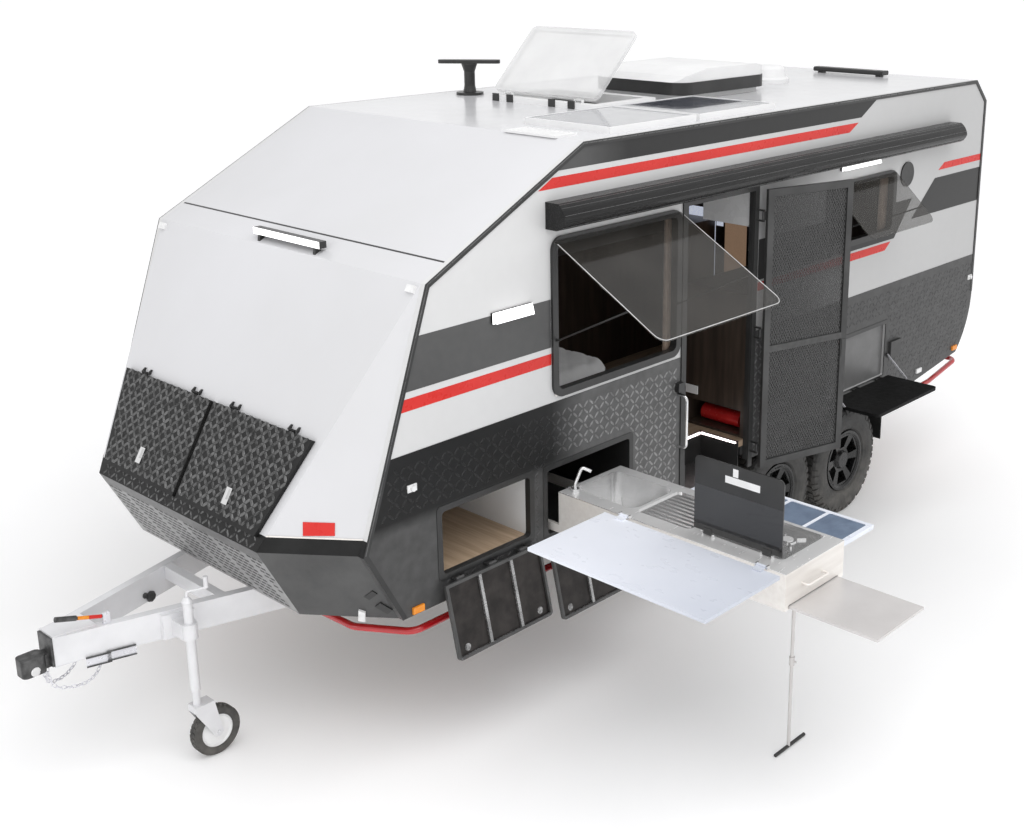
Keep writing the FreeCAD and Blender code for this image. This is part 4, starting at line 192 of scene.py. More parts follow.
surface("chassis_steel", 0.022, 0.034, 0.45, patch=4, grain=300, relief=0.12, dust=0.3)
surface("tyre_rubber", 0.016, 0.03, 0.62, patch=10, grain=260, relief=0.25, dust=0.35)
surface("spring_rubber", 0.016, 0.026, 0.55, patch=9, grain=240, relief=0.2)
surface("alloy_black", 0.014, 0.024, 0.28, 0.3, patch=8, grain=500)
surface("stainless", 0.78, 0.82, 0.2, 0.85, patch=2, stretch=(1, 6, 6), span=0.03, relief=0.0)
surface("worktop", 0.74, 0.8, 0.24, 0.4, patch=2, stretch=(1, 4, 4), span=0.04, relief=0.0)
surface("brushed_steel", (0.8, 0.765, 0.725), (0.86, 0.83, 0.79), 0.34, 0.25, patch=4, stretch=(1, 9, 9),
        span=0.05, grain=40, relief=0.02)
surface("chrome", 0.72, 0.8, 0.1, 1.0, patch=12, span=0.03, relief=0.0)
surface("aluminium", (0.7, 0.74, 0.84), (0.88, 0.91, 0.98), 0.3, 0.05, patch=1.1, span=0.05, grain=50,
        relief=0.03, stretch=(2, 1, 2))
surface("rib_metal", 0.24, 0.42, 0.26, 0.7, patch=9, relief=0.0)
surface("mesh_dark", 0.045, 0.065, 0.5, patch=30, grain=300, relief=0.2)
surface("latch_metal", 0.1, 0.34, 0.22, 0.8, patch=60, relief=0.0)
surface("door_inner", (0.014, 0.012, 0.011), (0.034, 0.029, 0.027), 0.36, 0.2, patch=14, grain=120,
        relief=0.3, Specular_IOR_Level=0.3)
surface("shelf_metal", (0.6, 0.58, 0.57), (0.66, 0.64, 0.63), 0.36, 0.3, span=0.05, grain=50, relief=0.03)
surface("table_black", 0.005, 0.008, 0.5, patch=5, grain=900, relief=0.08, Specular_IOR_Level=0.1)
surface("door_grey", 0.045, 0.07, 0.38, 0.4, patch=5, grain=700)
surface("lid_painted_reflection", 0.03, 0.038, 0.16, patch=4, span=0.02, relief=0.0, Specular_IOR_Level=0.3)
surface("hob_glass", 0.01, 0.016, 0.07, patch=4, span=0.02, relief=0.0, Coat_Weight=0.6, Coat_Roughness=0.03)
surface("white_plastic", 0.78, 0.84, 0.38, grain=500)
surface("locker_lining", 0.62, 0.68, 0.5, grain=300, relief=0.06)
surface("boot_floor", (0.34, 0.245, 0.16), (0.46, 0.34, 0.235), 0.48, stretch=(16, 0.8, 6), grain=26,
        relief=0.15)
surface("floor_board", (0.22, 0.16, 0.11), (0.32, 0.235, 0.165), 0.42, stretch=(0.8, 16, 6), grain=26,
        relief=0.15)
surface("cabinet_wood", (0.028, 0.02, 0.016), (0.058, 0.042, 0.032), 0.36, patch=3.5, stretch=(8, 8, 0.7),
        grain=34, relief=0.15)
surface("cupboard_white", 0.66, 0.72, 0.28, patch=2, grain=500, relief=0.03)
surface("red_paint", (0.42, 0.008, 0.012), (0.52, 0.014, 0.02), 0.2, patch=7, grain=400, Coat_Weight=0.7,
        Coat_Roughness=0.06)
surface("stripe_red", (0.6, 0.03, 0.026), (0.66, 0.04, 0.032), 0.3, grain=600, relief=0.02,
        Specular_IOR_Level=0.25)
surface("awning_case", 0.012, 0.02, 0.26, stretch=(0.5, 6, 6), grain=300, relief=0.04,
        Specular_IOR_Level=0.22)
surface("amber_lens", (0.75, 0.24, 0.015), (0.85, 0.3, 0.03), 0.16, patch=30, grain=220, relief=0.25)
surface("red_lens", (0.42, 0.01, 0.01), (0.55, 0.02, 0.02), 0.14, patch=30, grain=220, relief=0.25)
surface("white_lens", 0.72, 0.82, 0.14, patch=40, grain=220, relief=0.25)
surface("mattress_cloth", 0.66, 0.74, 0.85, patch=9, grain=900, relief=0.5, Sheen_Weight=0.3)
surface("curtain_cloth", (0.3, 0.22, 0.17), (0.42, 0.33, 0.26), 0.85, patch=60, stretch=(1, 1, 0.3),
        grain=900, relief=0.5, Sheen_Weight=0.3)
surface("tray_mat", (0.11, 0.15, 0.22), (0.15, 0.2, 0.28), 0.6, patch=12, grain=500, relief=0.3)
surface("white_sticker", 0.78, 0.84, 0.4, patch=12, grain=500)
surface("extinguisher_red", (0.5, 0.012, 0.012), (0.6, 0.02, 0.02), 0.22, patch=9, relief=0.0,
        Coat_Weight=0.4)


def clear_sheet(name, low, high, alpha, rough):
    """Tinted see-through acrylic."""
    surface(name, low, high, rough, span=0.02, relief=0.0, Alpha=alpha)


clear_sheet("window_acrylic", (0.045, 0.042, 0.038), (0.065, 0.061, 0.055), 0.4, 0.06)
clear_sheet("hatch_acrylic", 0.72, 0.8, 0.45, 0.1)


def glowing(name, colour, strength):
    """A glowing surface with a fine grain, for lit lenses and for painted light on parts that are no lamps.
    """
    tree, bsdf = tree_of(name)
    grain = noise(tree, 160.0, 1.0)
    lines = spread(tree, grain, 0.75, 1.0)
    shade = two_colours(tree, grain, tuple(value * 0.8 for value in colour), colour)
    link(tree, shade, bsdf.inputs["Base Color"])
    link(tree, shade, bsdf.inputs["Emission Color"])
    link(tree, lines, bsdf.inputs["Roughness"])
    bsdf.inputs["Emission Strength"].default_value = strength


glowing("lit_lens", (1.0, 1.0, 1.0), 1.6)
# The mirror and door in the partition glow, though they are no lamps: painted reflection and painted light
glowing("mirror_painted_reflection", (0.52, 0.56, 0.66), 0.9)
glowing("wood_painted_light", (0.20, 0.13, 0.085), 0.9)
glowing("lit_strip", (1.0, 0.86, 0.86), 6.0)


# The screen door stands turned back about its hinge, and its way is the direction along it
DOOR_HINGE, DOOR_TURN = (-3030, 1200, 0), 164
DOOR_WAY = (-0.9613, 0.2756, 0)


def insect_screen():
    """Fine dark gauze behind a diamond grille, see-through between its strands."""
    tree, bsdf = tree_of("insect_screen")
    along = coordinate(tree, DOOR_WAY)
    up = coordinate(tree, (0, 0, 1))
    pitch, width, lean = 0.020, 0.17, 0.55

    def strands(slope):
        """1 on the strands of one family of parallel lines."""
        place = sums(tree, "ADD", along, sums(tree, "MULTIPLY", up, slope))
        cell = sums(tree, "FRACT", sums(tree, "DIVIDE", place, pitch))
        return sums(tree, "LESS_THAN", cell, width)

    lattice = sums(tree, "MAXIMUM", strands(lean), strands(-lean))
    gauze = spread(tree, noise(tree, 5.0), 0.60, 0.68)
    link(tree, sums(tree, "MAXIMUM", lattice, gauze), bsdf.inputs["Alpha"])
    shade = two_colours(tree, lattice, grey(0.028), grey(0.060), 0.0, 1.0)
    coloured(tree, bsdf, shade, 30.0, 0.45, 0.6)


insect_screen()


def graded(name, rough, metal, span, shade, *steps):
    """A grey that turns into another between two distances along a direction, step by step."""
    tree, bsdf = tree_of(name)
    value = shade
    for direction, start, end, after in steps:
        share = spread(tree, coordinate(tree, direction), 0.0, 1.0, start, end)
        kept = sums(tree, "MULTIPLY", value, sums(tree, "SUBTRACT", 1.0, share))
        value = sums(tree, "ADD", kept, sums(tree, "MULTIPLY", share, after))
    blotch = spread(tree, noise(tree, 18.0), 1 - span, 1 + span)
    coloured(tree, bsdf, sums(tree, "MULTIPLY", value, blotch), 40.0, rough - span / 3, rough + span / 3)
    bsdf.inputs["Metallic"].default_value = metal
    bsdf.inputs["Specular IOR Level"].default_value = 0.3


AFTWARD, UPWARD = (-1, 0, 0), (0, 0, 1)


def behind(x):
    """The distance aft of the row's origin of a place in drawing millimetres."""
    return -at(x, 0, 0).x


def above(z):
    """The row frame's height of a place in drawing millimetres."""
    return at(0, 0, z).z


# Painted reflection and shade on the side: black from the belt up at its front, grey below it,
# a pale painted reflection from the kitchen on, its bars paler still as painted highlights, painted shade at
# the tail
REFLECTION_BELT = (UPWARD, above(1250), above(1310))
PALE_REFLECTION_START = (AFTWARD, behind(-1250), behind(-1500))
TAIL_SHADE = (AFTWARD, behind(-2915), behind(-3915))
graded("cladding", 0.42, 0.2, 0.15, 0.068, (*REFLECTION_BELT, 0.010), (*PALE_REFLECTION_START, 0.105), (*TAIL_SHADE, 0.070))
graded("tread_bars", 0.30, 0.3, 0.30, 0.070, (*REFLECTION_BELT, 0.022), (*PALE_REFLECTION_START, 0.230), (*TAIL_SHADE, 0.060))
# Painted shade: the white side walls turn greyer towards the rear
graded("white_side_painted_shade", 0.26, 0.0, 0.008, 0.64, (AFTWARD, behind(-715), behind(-5515), 0.48))
graded("stripe_dark", 0.30, 0.0, 0.05, 0.080, (AFTWARD, behind(-1500), behind(-1850), 0.022))
# The chin's front: pale grey, partly painted light, darker along its top
graded("chin_front_painted_light", 0.42, 0.2, 0.12, 0.32, (UPWARD, above(1118), above(1132), 0.15))


def flap_painted_sheen():
    """Brushed sheet with a painted reflection: pale near the body, darker away from it."""
    tree, bsdf = tree_of("flap_painted_sheen")
    inner, outer = 1.6, 2.7
    # Painted reflection: the sheet is paler near the body
    near = spread(tree, coordinate(tree, (0, 1, 0)), 1.0, 0.0, inner, outer)
    wave = spread(tree, noise(tree, 1.4), -0.12, 0.12)
    shade = two_colours(tree, sums(tree, "ADD", near, wave), (0.56, 0.59, 0.66), (0.88, 0.91, 0.98), 0.0, 1.0)
    link(tree, shade, bsdf.inputs["Base Color"])
    link(tree, spread(tree, noise(tree, 9.0, 3.0, (2, 1, 2)), 0.26, 0.34), bsdf.inputs["Roughness"])


flap_painted_sheen()


def cell_panel():
    """Solar cells behind glass: dark squares with fine pale lines between them."""
    tree, bsdf = tree_of("solar_cells")
    cells = two_colours(tree, noise(tree, 6.0), (0.035, 0.045, 0.075), (0.055, 0.065, 0.095))
    pale = tree.nodes.new("ShaderNodeRGB")
    pale.outputs[0].default_value = (0.42, 0.43, 0.45, 1)
    pitch, share = 0.159, 0.03
    masks = []
    for direction in ((1, 0, 0), (0, 1, 0)):
        cell = sums(tree, "FRACT", sums(tree, "DIVIDE", coordinate(tree, direction), pitch))
        masks.append(sums(tree, "LESS_THAN", cell, share))
    grid = sums(tree, "MAXIMUM", *masks)
    coloured(tree, bsdf, mixed(tree, grid, cells, pale.outputs[0]), 9.0, 0.06, 0.14)
    bsdf.inputs["Coat Weight"].default_value = 0.8


cell_panel()


def dress(material, *nodes):
    """Gives whole CAD nodes one material."""
    for name in nodes:
        data = NODES[name].data
        data.materials.clear()
        data.materials.append(MATERIALS[material])
        for face in data.polygons:
            face.material_index = 0


ALL = (-9999, 9999)


def paint(node, material, x=ALL, y=ALL, z=ALL, flat=None, pivot=ORIGIN, turn=0, axis="X"):
    """Gives the faces of a CAD node that lie within a range of millimetres another material.

    The range is in drawing millimetres, or from a hinge for a part turned back about it. With flat,
    the faces also look along that axis.
    """
    data = NODES[node].data
    data.materials.append(MATERIALS[material])
    slot = len(data.materials) - 1
    start = at(*pivot)
    back = Matrix.Rotation(math.radians(turn), 3, axis)
    shift = Vector(pivot) if not turn else Vector()
    slack = 1e-5
    low = [bound[0] / 1000 - slack for bound in (x, y, z)]
    high = [bound[1] / 1000 + slack for bound in (x, y, z)]
    for face in data.polygons:
        spots = [back @ (data.vertices[index].co - start) + shift / 1000 for index in face.vertices]
        inside = all(low[k] <= spot[k] <= high[k] for spot in spots for k in range(3))
        if inside and (flat is None or abs(face.normal[flat]) > 0.9):
            face.material_index = slot


WHEELS = [f"{row}_{side}" for row in ("front", "rear") for side in ("left", "right")]
dress("white_side_painted_shade", "left_wall", "right_wall")
dress("white_panel", "roof_front_panel", "roof_panel", "rear_wall", "nose_panel")
dress("cladding", "side_cladding")
dress("hatch_plate", "front_hatch_left", "front_hatch_right")
dress("chin_plate", "skirts")
dress("black_trim", "edge_trims", "opening_frames", "body_fittings", "roof_fittings", "lamps")
dress("black_metal", "door_frame", "toolbox_door", "boot_door", "galley_door")
dress("zinc_plate", "table_stays", "safety_chains")
dress("door_grey", "screen_door")
dress("table_black", "picnic_table")
dress("floor_board", "cabin_floor")
dress("galvanised", "drawbar", "jockey_post", "jockey_fork")
dress("chassis_steel", "chassis", "trailing_arms")
dress("spring_rubber", "air_springs")
dress("cast_iron", "coupling")
dress("tyre_rubber", "jockey_tyre", *(f"tyre_{place}" for place in WHEELS))
dress("white_plastic", "jockey_rim", "roof_hatch_frame", "air_conditioner", "solar_panels")
dress("alloy_black", *(f"rim_{place}" for place in WHEELS))
dress("stainless", "kitchen_top")
dress("shelf_metal", "kitchen_leg", "end_shelf")
dress("brushed_steel", "kitchen_carcass")
dress("aluminium", "side_tray")
dress("flap_painted_sheen", "bench_flap")
dress("hob_glass", "hob_lid")
dress("window_acrylic", "window_panes")
dress("hatch_acrylic", "roof_hatch_lid")
dress("awning_case", "awning")
dress("red_paint", "tube_bars")
dress("cabinet_wood", "furniture", "washroom_partition")
dress("mattress_cloth", "mattress")
dress("curtain_cloth", "curtains")
dress("locker_lining", "locker_liners")

paint("kitchen_top", "worktop", z=(1139, 1141), flat=2)
paint("locker_liners", "boot_floor", x=(-1150, -400), z=(926, 936))
paint("locker_liners", "black_trim", x=(-1990, -1150))
for door in ("toolbox_door", "galley_door", "boot_door"):
    paint(door, "chequer_plate")
paint("air_conditioner", "black_trim", z=(2989, 3070.5))
paint("solar_panels", "solar_cells", z=(2987.5, 2988.5), flat=2)
paint("roof_fittings", "white_plastic", x=(-4780, -4460), y=(-80, 240))
paint("roof_fittings", "white_plastic", x=(-1660, -1480), y=(580, 980))
for y in ((1163.5, 1190), (-1190, -1163.5)):
    paint("lamps", "lit_lens", y=y)
paint("lamps", "lit_lens", x=(-448.5, -447.5), y=(-236, 336), z=(2454, 2491))
paint("lamps", "white_lens", x=(-334, -266))
paint("body_fittings", "cladding", x=(-4760, -4650), y=(1149, 1210), z=(1060, 1200))
paint("lamps", "amber_lens", z=(795, 945))
paint("lamps", "white_lens", x=(-5190, -5070), y=(1149, 1200), z=(795, 945))
paint("skirts", "chin_front_painted_light", x=(60, 320), y=(-745, 745), z=(780, 1194))
paint("lamps", "white_lens", x=(-5892, -5826), z=(1425, 1475))
paint("lamps", "red_lens", x=(-5950, -5919))
for y in ((1040, 1110), (-1110, -1040)):
    paint("lamps", "white_lens", x=(-470, -380), y=y)
paint("body_fittings", "chrome", x=(-2320, -2285), z=(1080, 1410))
paint("furniture", "extinguisher_red", x=(-3190, -3070), y=(700, 1040), z=(930, 1045))
paint("furniture", "cupboard_white", x=(-3710, -3000), z=(2270, 2810))
paint("kitchen_leg", "black_trim", z=(-5, 60))
paint("side_tray", "tray_mat", z=(1101, 1121), flat=2)
paint("coupling", "zinc_plate", x=(728, 772), z=(789, 850))
paint("left_wall", "recess_grey", x=(-4655, -3855), y=(1100, 1149), z=(940, 1355))
for wall, y in (("left_wall", (1100, 1150)), ("right_wall", (-1150, -1100))):
    paint(wall, "chequer_plate", x=(-300, 300), y=y, z=(780, 1194))
paint("cabin_floor", "black_metal", z=(700, 879))
paint("cabin_floor", "black_trim", x=(-2952, -2408), y=(819, 1121), z=(723, 921))

# Doors that stand turned back, painted in their own shut frame
swung = {"pivot": DOOR_HINGE, "turn": -DOOR_TURN, "axis": "Z"}
paint("screen_door", "insect_screen", x=(50, 640), y=(-25, -21), **swung)
paint("screen_door", "mesh_dark", x=(50, 640), z=(1470, 1550), **swung)
for door, foot, front in (("toolbox_door", 898, -449), ("galley_door", 860, -1181)):
    hinge = {"pivot": (0, 1178, foot), "turn": 167}
    paint(door, "rib_metal", y=(-18.5, -3.9), z=(20, 420), x=(front - 640, front - 15), **hinge)
    paint(door, "door_inner", y=(-5.2, -4.8), z=(20, 420), **hinge)
    paint(door, "latch_metal", y=(-6.1, -5.6), **hinge)


# Mesh makers

def belt(count, start=0):
    """The faces between a ring of points and the ring that follows it."""
    return [(start + k, start + (k + 1) % count, start + count + (k + 1) % count, start + count + k)
            for k in range(count)]


def circle(centre, side, other, radius, count):
    """Points round a circle that lies in the plane of two directions."""
    turns = [2 * math.pi * k / count for k in range(count)]
    return [centre + (side * math.cos(turn) + other * math.sin(turn)) * radius for turn in turns]


def bend(u, v, radius, first, last, step):
    """Points of an arc of a flat outline, from one angle to another in degrees."""
    angles = [math.radians(angle) for angle in range(first, last, step)]
    return [(u + radius * math.cos(angle), v + radius * math.sin(angle)) for angle in angles]


class Shape:
    """Points and faces gathered for one piece, in drawing millimetres."""

    def __init__(self):
        self.points = []
        self.faces = []

    def add(self, points, faces):
        base = len(self.points)
        self.points += [at(*point) for point in points]
        self.faces += [tuple(base + index for index in face) for face in faces]

    def plate(self, ring, lift, depth):
        """A flat plate over a ring of points, lifted off it along the ring's normal."""
        spots = [Vector(point) for point in ring]
        normal = (spots[1] - spots[0]).cross(spots[2] - spots[1]).normalized()
        count = len(spots)
        low = [spot + normal * lift for spot in spots]
        high = [spot + normal * (lift + depth) for spot in spots]
        self.add(low + high, [tuple(range(count))[::-1], tuple(range(count, 2 * count))] + belt(count))

    def block(self, x0, x1, y0, y1, z0, z1):
        """A box between two corners."""
        ring = [(x0, y0, z0), (x1, y0, z0), (x1, y1, z0), (x0, y1, z0)]
        self.plate(ring, 0, z1 - z0)

    def disc(self, centre, normal, radius, depth, sides=20):
        """A round boss with a chamfered top."""
        axis = Vector(normal).normalized()
        side = axis.orthogonal().normalized()
        other = axis.cross(side)
        rings = []
        for size, height in ((radius, 0), (radius, depth * 0.6), (radius * 0.8, depth)):
            rings += circle(Vector(centre) + axis * height, side, other, size, sides)
        faces = [tuple(range(2 * sides, 3 * sides)), tuple(range(sides))[::-1]]
        self.add(rings, faces + belt(sides) + belt(sides, sides))

    def tube(self, way, radius, sides=10):
        """A round tube along a list of points."""
        spots = [Vector(point) for point in way]
        rings = []
        for index, spot in enumerate(spots):
            before = spots[max(index - 1, 0)]
            after = spots[min(index + 1, len(spots) - 1)]
            axis = (after - before).normalized()
            side = axis.cross(Vector((0.31, 0.17, 0.93))).normalized()
            other = axis.cross(side)
            rings += circle(spot, side, other, radius, sides)
        last = (len(spots) - 1) * sides
        faces = [tuple(range(sides))[::-1], tuple(range(last, last + sides))]
        for level in range(0, last, sides):
            faces += belt(sides, level)
        self.add(rings, faces)

    def make(self, name, material, body="body", smooth=False):
        """A mesh object of the gathered faces, riding on a body."""
        data = bpy.data.meshes.new(name)
        data.from_pydata([tuple(point) for point in self.points], [], self.faces)
        data.materials.append(MATERIALS[material])
        data.validate()
        data.update()
        if smooth:
            data.polygons.foreach_set("use_smooth", [True] * len(data.polygons))
        made = bpy.data.objects.new(name, data)
        bpy.context.scene.collection.objects.link(made)
        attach(made, body)
        return made


def plate_piece(name, material, rings, lift, depth, body="body"):
    """One piece of flat plates over rings of points."""
    shape = Shape()
    for ring in rings:
        shape.plate(ring, lift, depth)
    return shape.make(name, material, body)


def box_piece(name, material, *boxes):
    """One piece of boxes on the body."""
    shape = Shape()
    for box in boxes:
        shape.block(*box)
    return shape.make(name, material)


def tube_piece(name, material, ways, radius, sides=6):
    """One piece of round tubes on the body."""
    shape = Shape()
    for way in ways:
        shape.tube(way, radius, sides)
    return shape.make(name, material)


def within(outline, u, v):
    """Whether a point lies inside a closed outline."""
    inside = False
    for (u0, v0), (u1, v1) in zip(outline, outline[1:] + outline[:1]):
        if (v0 > v) != (v1 > v) and u < (u1 - u0) * (v - v0) / (v1 - v0) + u0:
            inside = not inside
    return inside


def tread(name, material, body, origin, along, across, outline, holes, pitch, bar, wide, high):
    """Raised bars of chequer plate over a flat outline, turned by turns to the left and right."""
    shape = Shape()
    start, u_way, v_way = Vector(origin), Vector(along).normalized(), Vector(across).normalized()
    normal = u_way.cross(v_way)
    us = [point[0] for point in outline]
    vs = [point[1] for point in outline]
    for i in range(int(min(us) // pitch), int(max(us) // pitch) + 2):
        for j in range(int(min(vs) // pitch), int(max(vs) // pitch) + 2):
            turn = math.pi / 4 if (i + j) % 2 else -math.pi / 4
            u, v = i * pitch, j * pitch
            du, dv = math.cos(turn), math.sin(turn)
            ends = [(u + du * k * bar / 2, v + dv * k * bar / 2) for k in (-1, 0, 1)]
            if not all(within(outline, *end) for end in ends):
                continue
            if any(within(hole, *end) for hole in holes for end in ends):
                continue
            points = []
            for size, lift in ((1.0, 0.0), (0.72, high)):
                for a, b in ((-0.5, 0), (-0.28, -0.5), (0.28, -0.5), (0.5, 0), (0.28, 0.5), (-0.28, 0.5)):
                    p, q = a * bar * size, b * wide * size
                    spot = start + u_way * (u + du * p - dv * q) + v_way * (v + dv * p + du * q)
                    points.append(spot + normal * lift)
            shape.add(points, [(6, 7, 8, 9, 10, 11)] + belt(6))
    shape.make(name, material, body)


# Chequer plate

SIDES = ((1, "left"), (-1, "right"))
# The nose falls from the brow to the tip, and the roof's front rises from the brow to the crest
TIP_X, TIP_Y, TIP_Z = 293, 729, 1193
BROW_X, BROW_Y, BROW_Z = -434, 1120, 2414
CREST_X, CREST_Z = -1507, 2956
NOSE_RUN = Vector((TIP_X - BROW_X, 0, TIP_Z - BROW_Z)).normalized()
NOSE_UP = Vector((BROW_Z - TIP_Z, 0, TIP_X - BROW_X)).normalized()
BROW = Vector((BROW_X, 0, BROW_Z))
HATCH_FACE = 24
HATCH_RING = [(842, 14), (1350, 14), (1350, 700), (842, 838)]
WALL, CLAD = 1150, 1153
SIDE_RING = [(-446, 806), (-446, 1322), (-88, 1322), (-176, 1612), (-5900, 1612), (-5900, 1335),
             (-5848, 1092), (-5705, 898), (-5080, 806)]
ARCH = [(-3085, 750), (-3180, 890), (-4505, 890), (-4600, 750)]
BAY = [(-443, 900), (-443, 1300), (-1112, 1300), (-1112, 900)]
GALLEY = [(-1175, 862), (-1175, 1292), (-1900, 1292), (-1900, 862)]
DOOR = [(-2312, 700), (-2312, 1700), (-3048, 1700), (-3048, 700)]
TABLE = [(-3848, 925), (-3848, 1375), (-4662, 1375), (-4662, 925)]
LAMP_GAPS = [[(x - 34, 1425), (x + 34, 1425), (x + 34, 1475), (x - 34, 1475)] for x in (-300, -5860)]

for side, name in SIDES:
    ring = [(u, v * side) for u, v in HATCH_RING]
    tread(f"hatch_tread_{name}", "hatch_bars", f"front_hatch_{name}", BROW + NOSE_UP * HATCH_FACE, NOSE_RUN,
          (0, 1, 0), ring, [], pitch=33, bar=45, wide=17, high=3.0)

for side, name in SIDES:
    holes = [ARCH, BAY, GALLEY, DOOR, TABLE] if side > 0 else [ARCH, BAY]
    ring, *gaps = [[(-side * u, v) for u, v in outline] for outline in [SIDE_RING] + holes + LAMP_GAPS]
    tread(f"side_tread_{name}", "tread_bars", "body", (0, CLAD * side, 0), (-side, 0, 0), (0, 0, 1),
          ring, gaps, pitch=42, bar=48, wide=12, high=1.8)

# Rows of slots in the chin, in groups of five
CHIN_TOP = Vector((TIP_X, 0, TIP_Z))
CHIN_UP = Vector((212, 0, 403)).normalized()
slots = []
for row in range(12):
    top = CHIN_TOP - CHIN_UP * (78 + 31 * row)
    low = top - CHIN_UP * 13
    for k in range(-24, 25):
        y = 46 * k + 13 * row
        if abs(y) < 700 and k % 6:
            slots.append([(low.x, y - 17, low.z), (low.x, y + 17, low.z), (top.x, y + 17, top.z),
                          (top.x, y - 17, top.z)])
plate_piece("chin_slots", "slot_black", slots, 0.3, 0.5)

# The dark band round the foot of the nose, with its tread
band = Shape()
BAND_TOP = 1265
BAND_END = 1118
share = (BROW_Z - BAND_TOP) / (BROW_Z - TIP_Z)
fold = (BROW_X + (TIP_X - BROW_X) * share, BROW_Y - (BROW_Y - TIP_Y) * share, BAND_TOP)
heel = (BROW_X - BROW_X * share, BROW_Y, BAND_TOP)
tips = [(TIP_X, -TIP_Y, TIP_Z), (TIP_X, TIP_Y, TIP_Z)]
band.plate(tips + [fold, (fold[0], -fold[1], BAND_TOP)], 0.3, 1.2)
band.plate([tips[1], (2, BAND_END, TIP_Z), (heel[0], BAND_END, BAND_TOP), fold], 0.3, 1.2)
ring = [(2, -BAND_END, TIP_Z), tips[0], (fold[0], -fold[1], BAND_TOP), (heel[0], -BAND_END, BAND_TOP)]
band.plate(ring, 0.3, 1.2)
for y0, y1 in ((1116, 1151), (-1151, -1116)):
    band.plate([(1, y0, 1191), (1, y1, 1191), (heel[0], y1, BAND_TOP), (heel[0], y0, BAND_TOP)], 0.4, 1.4)
band.make("nose_band", "hatch_plate")
ring = [(1342, -735), (1342, 735), (1418, 728), (1418, -728)]
tread("nose_band_tread", "hatch_bars", "body", BROW + NOSE_UP * 1.5, NOSE_RUN, (0, 1, 0), ring, [],
      pitch=40, bar=44, wide=12, high=1.2)

# The pale bar between the hatches and the pale strips above the band
trim = Shape()
ring = [(846, -7), (1340, -7), (1340, 7), (846, 7)]
trim.plate([BROW + NOSE_RUN * run + Vector((0, y, 0)) for run, y in ring], 0.2, 5)
for side in (1, -1):
    inner, outer = (Vector((x, side * y, z)) for x, y, z in (fold, heel))
    rise = Vector((0, 0, 7))
    ring = [inner, outer, outer + rise, inner + rise]
    trim.plate(ring if side > 0 else ring[::-1], 0.4, 2)
trim.make("nose_trim", "brushed_steel")


# Stripes and plates on the walls

def stripes(name, material, rings):
    """Flat marks on both side walls, drawn by outlines of distances and heights."""
    shape = Shape()
    for ring in rings:
        shape.plate([(x, WALL, z) for x, z in ring[::-1]], 0.4, 0.4)
        shape.plate([(x, -WALL, z) for x, z in ring], 0.4, 0.4)
    shape.make(name, material)


TRIM_WIDTH = 26


def edge_x(z):
    """The foremost place of a mark on the side wall beside the nose trim."""
    if z < BROW_Z:
        return BROW_X * (z - TIP_Z) / (BROW_Z - TIP_Z) - TRIM_WIDTH
    return BROW_X - (BROW_X - CREST_X) * (z - BROW_Z) / (CREST_Z - BROW_Z) - TRIM_WIDTH


stripes("red_stripes", "stripe_red", (
    [(edge_x(1832), 1832), (edge_x(1892), 1892), (-1254, 1892), (-1254, 1832)],
    [(-3060, 1877), (-3060, 1930), (-4632, 1930), (-4560, 1877)],
    [(-1175, 2745), (-1278, 2800), (-4134, 2800), (-4030, 2745)],
    [(-5252, 2352), (-5340, 2400), (-5912, 2400), (-5912, 2352)]))
stripes("dark_stripes", "stripe_dark", (
    [(edge_x(1925), 1925), (edge_x(2180), 2180), (-1254, 2180), (-1254, 1925)],
    [(edge_x(2830) + 4, 2830), (edge_x(2930), 2930), (-4345, 2930), (-4165, 2830)],
    [(-3060, 1945), (-3060, 2198), (-3788, 2198), (-3788, 1983), (-4652, 1983), (-4652, 2198),
     (-4897, 2198), (-4676, 1945)],
    [(-4902, 2047), (-5210, 2300), (-5912, 2300), (-5912, 2047)]))

# A plate without its lettering on the nose's left cheek
ring = [(142, 892, 1276), (50, 1012, 1281), (37, 1001, 1339), (129, 880, 1338)]
plate_piece("blank_red_plate", "stripe_red", [ring], 1.5, 1.5)

# The seam across the front, above the brow
tilt = Vector((BROW_X - CREST_X, 0, BROW_Z - CREST_Z)).normalized()
low = Vector((-581, -1119, 2488)) - tilt * 5
high, across = low + tilt * 10, Vector((0, 2238, 0))
plate_piece("front_seam", "black_trim", [[low, high, high + across, low + across]], 0.2, 1.0)

# A painted highlight: a pale line along the edge trims
line = Shape()
TRIM_FACE = 1156.1
EDGE_RUNS = (((-10, 1200), (-444, 2414)), ((-444, 2412), (-1512, 2951)), ((-1512, 2947), (-5560, 2947)))
for side in (1, -1):
    for first, second in EDGE_RUNS:
        y = side * TRIM_FACE
        start, end = Vector((first[0], y, first[1])), Vector((second[0], y, second[1]))
        aside = (end - start).cross(Vector((0, 1, 0))).normalized() * 3
        ring = [start - aside, end - aside, end + aside, start + aside]
        facing = (ring[1] - ring[0]).cross(ring[2] - ring[1]).y * side > 0
        line.plate(ring if facing else ring[::-1], 0.0, 0.6)
line.make("trim_highlight_line", "highlight_grey")


# Tyres

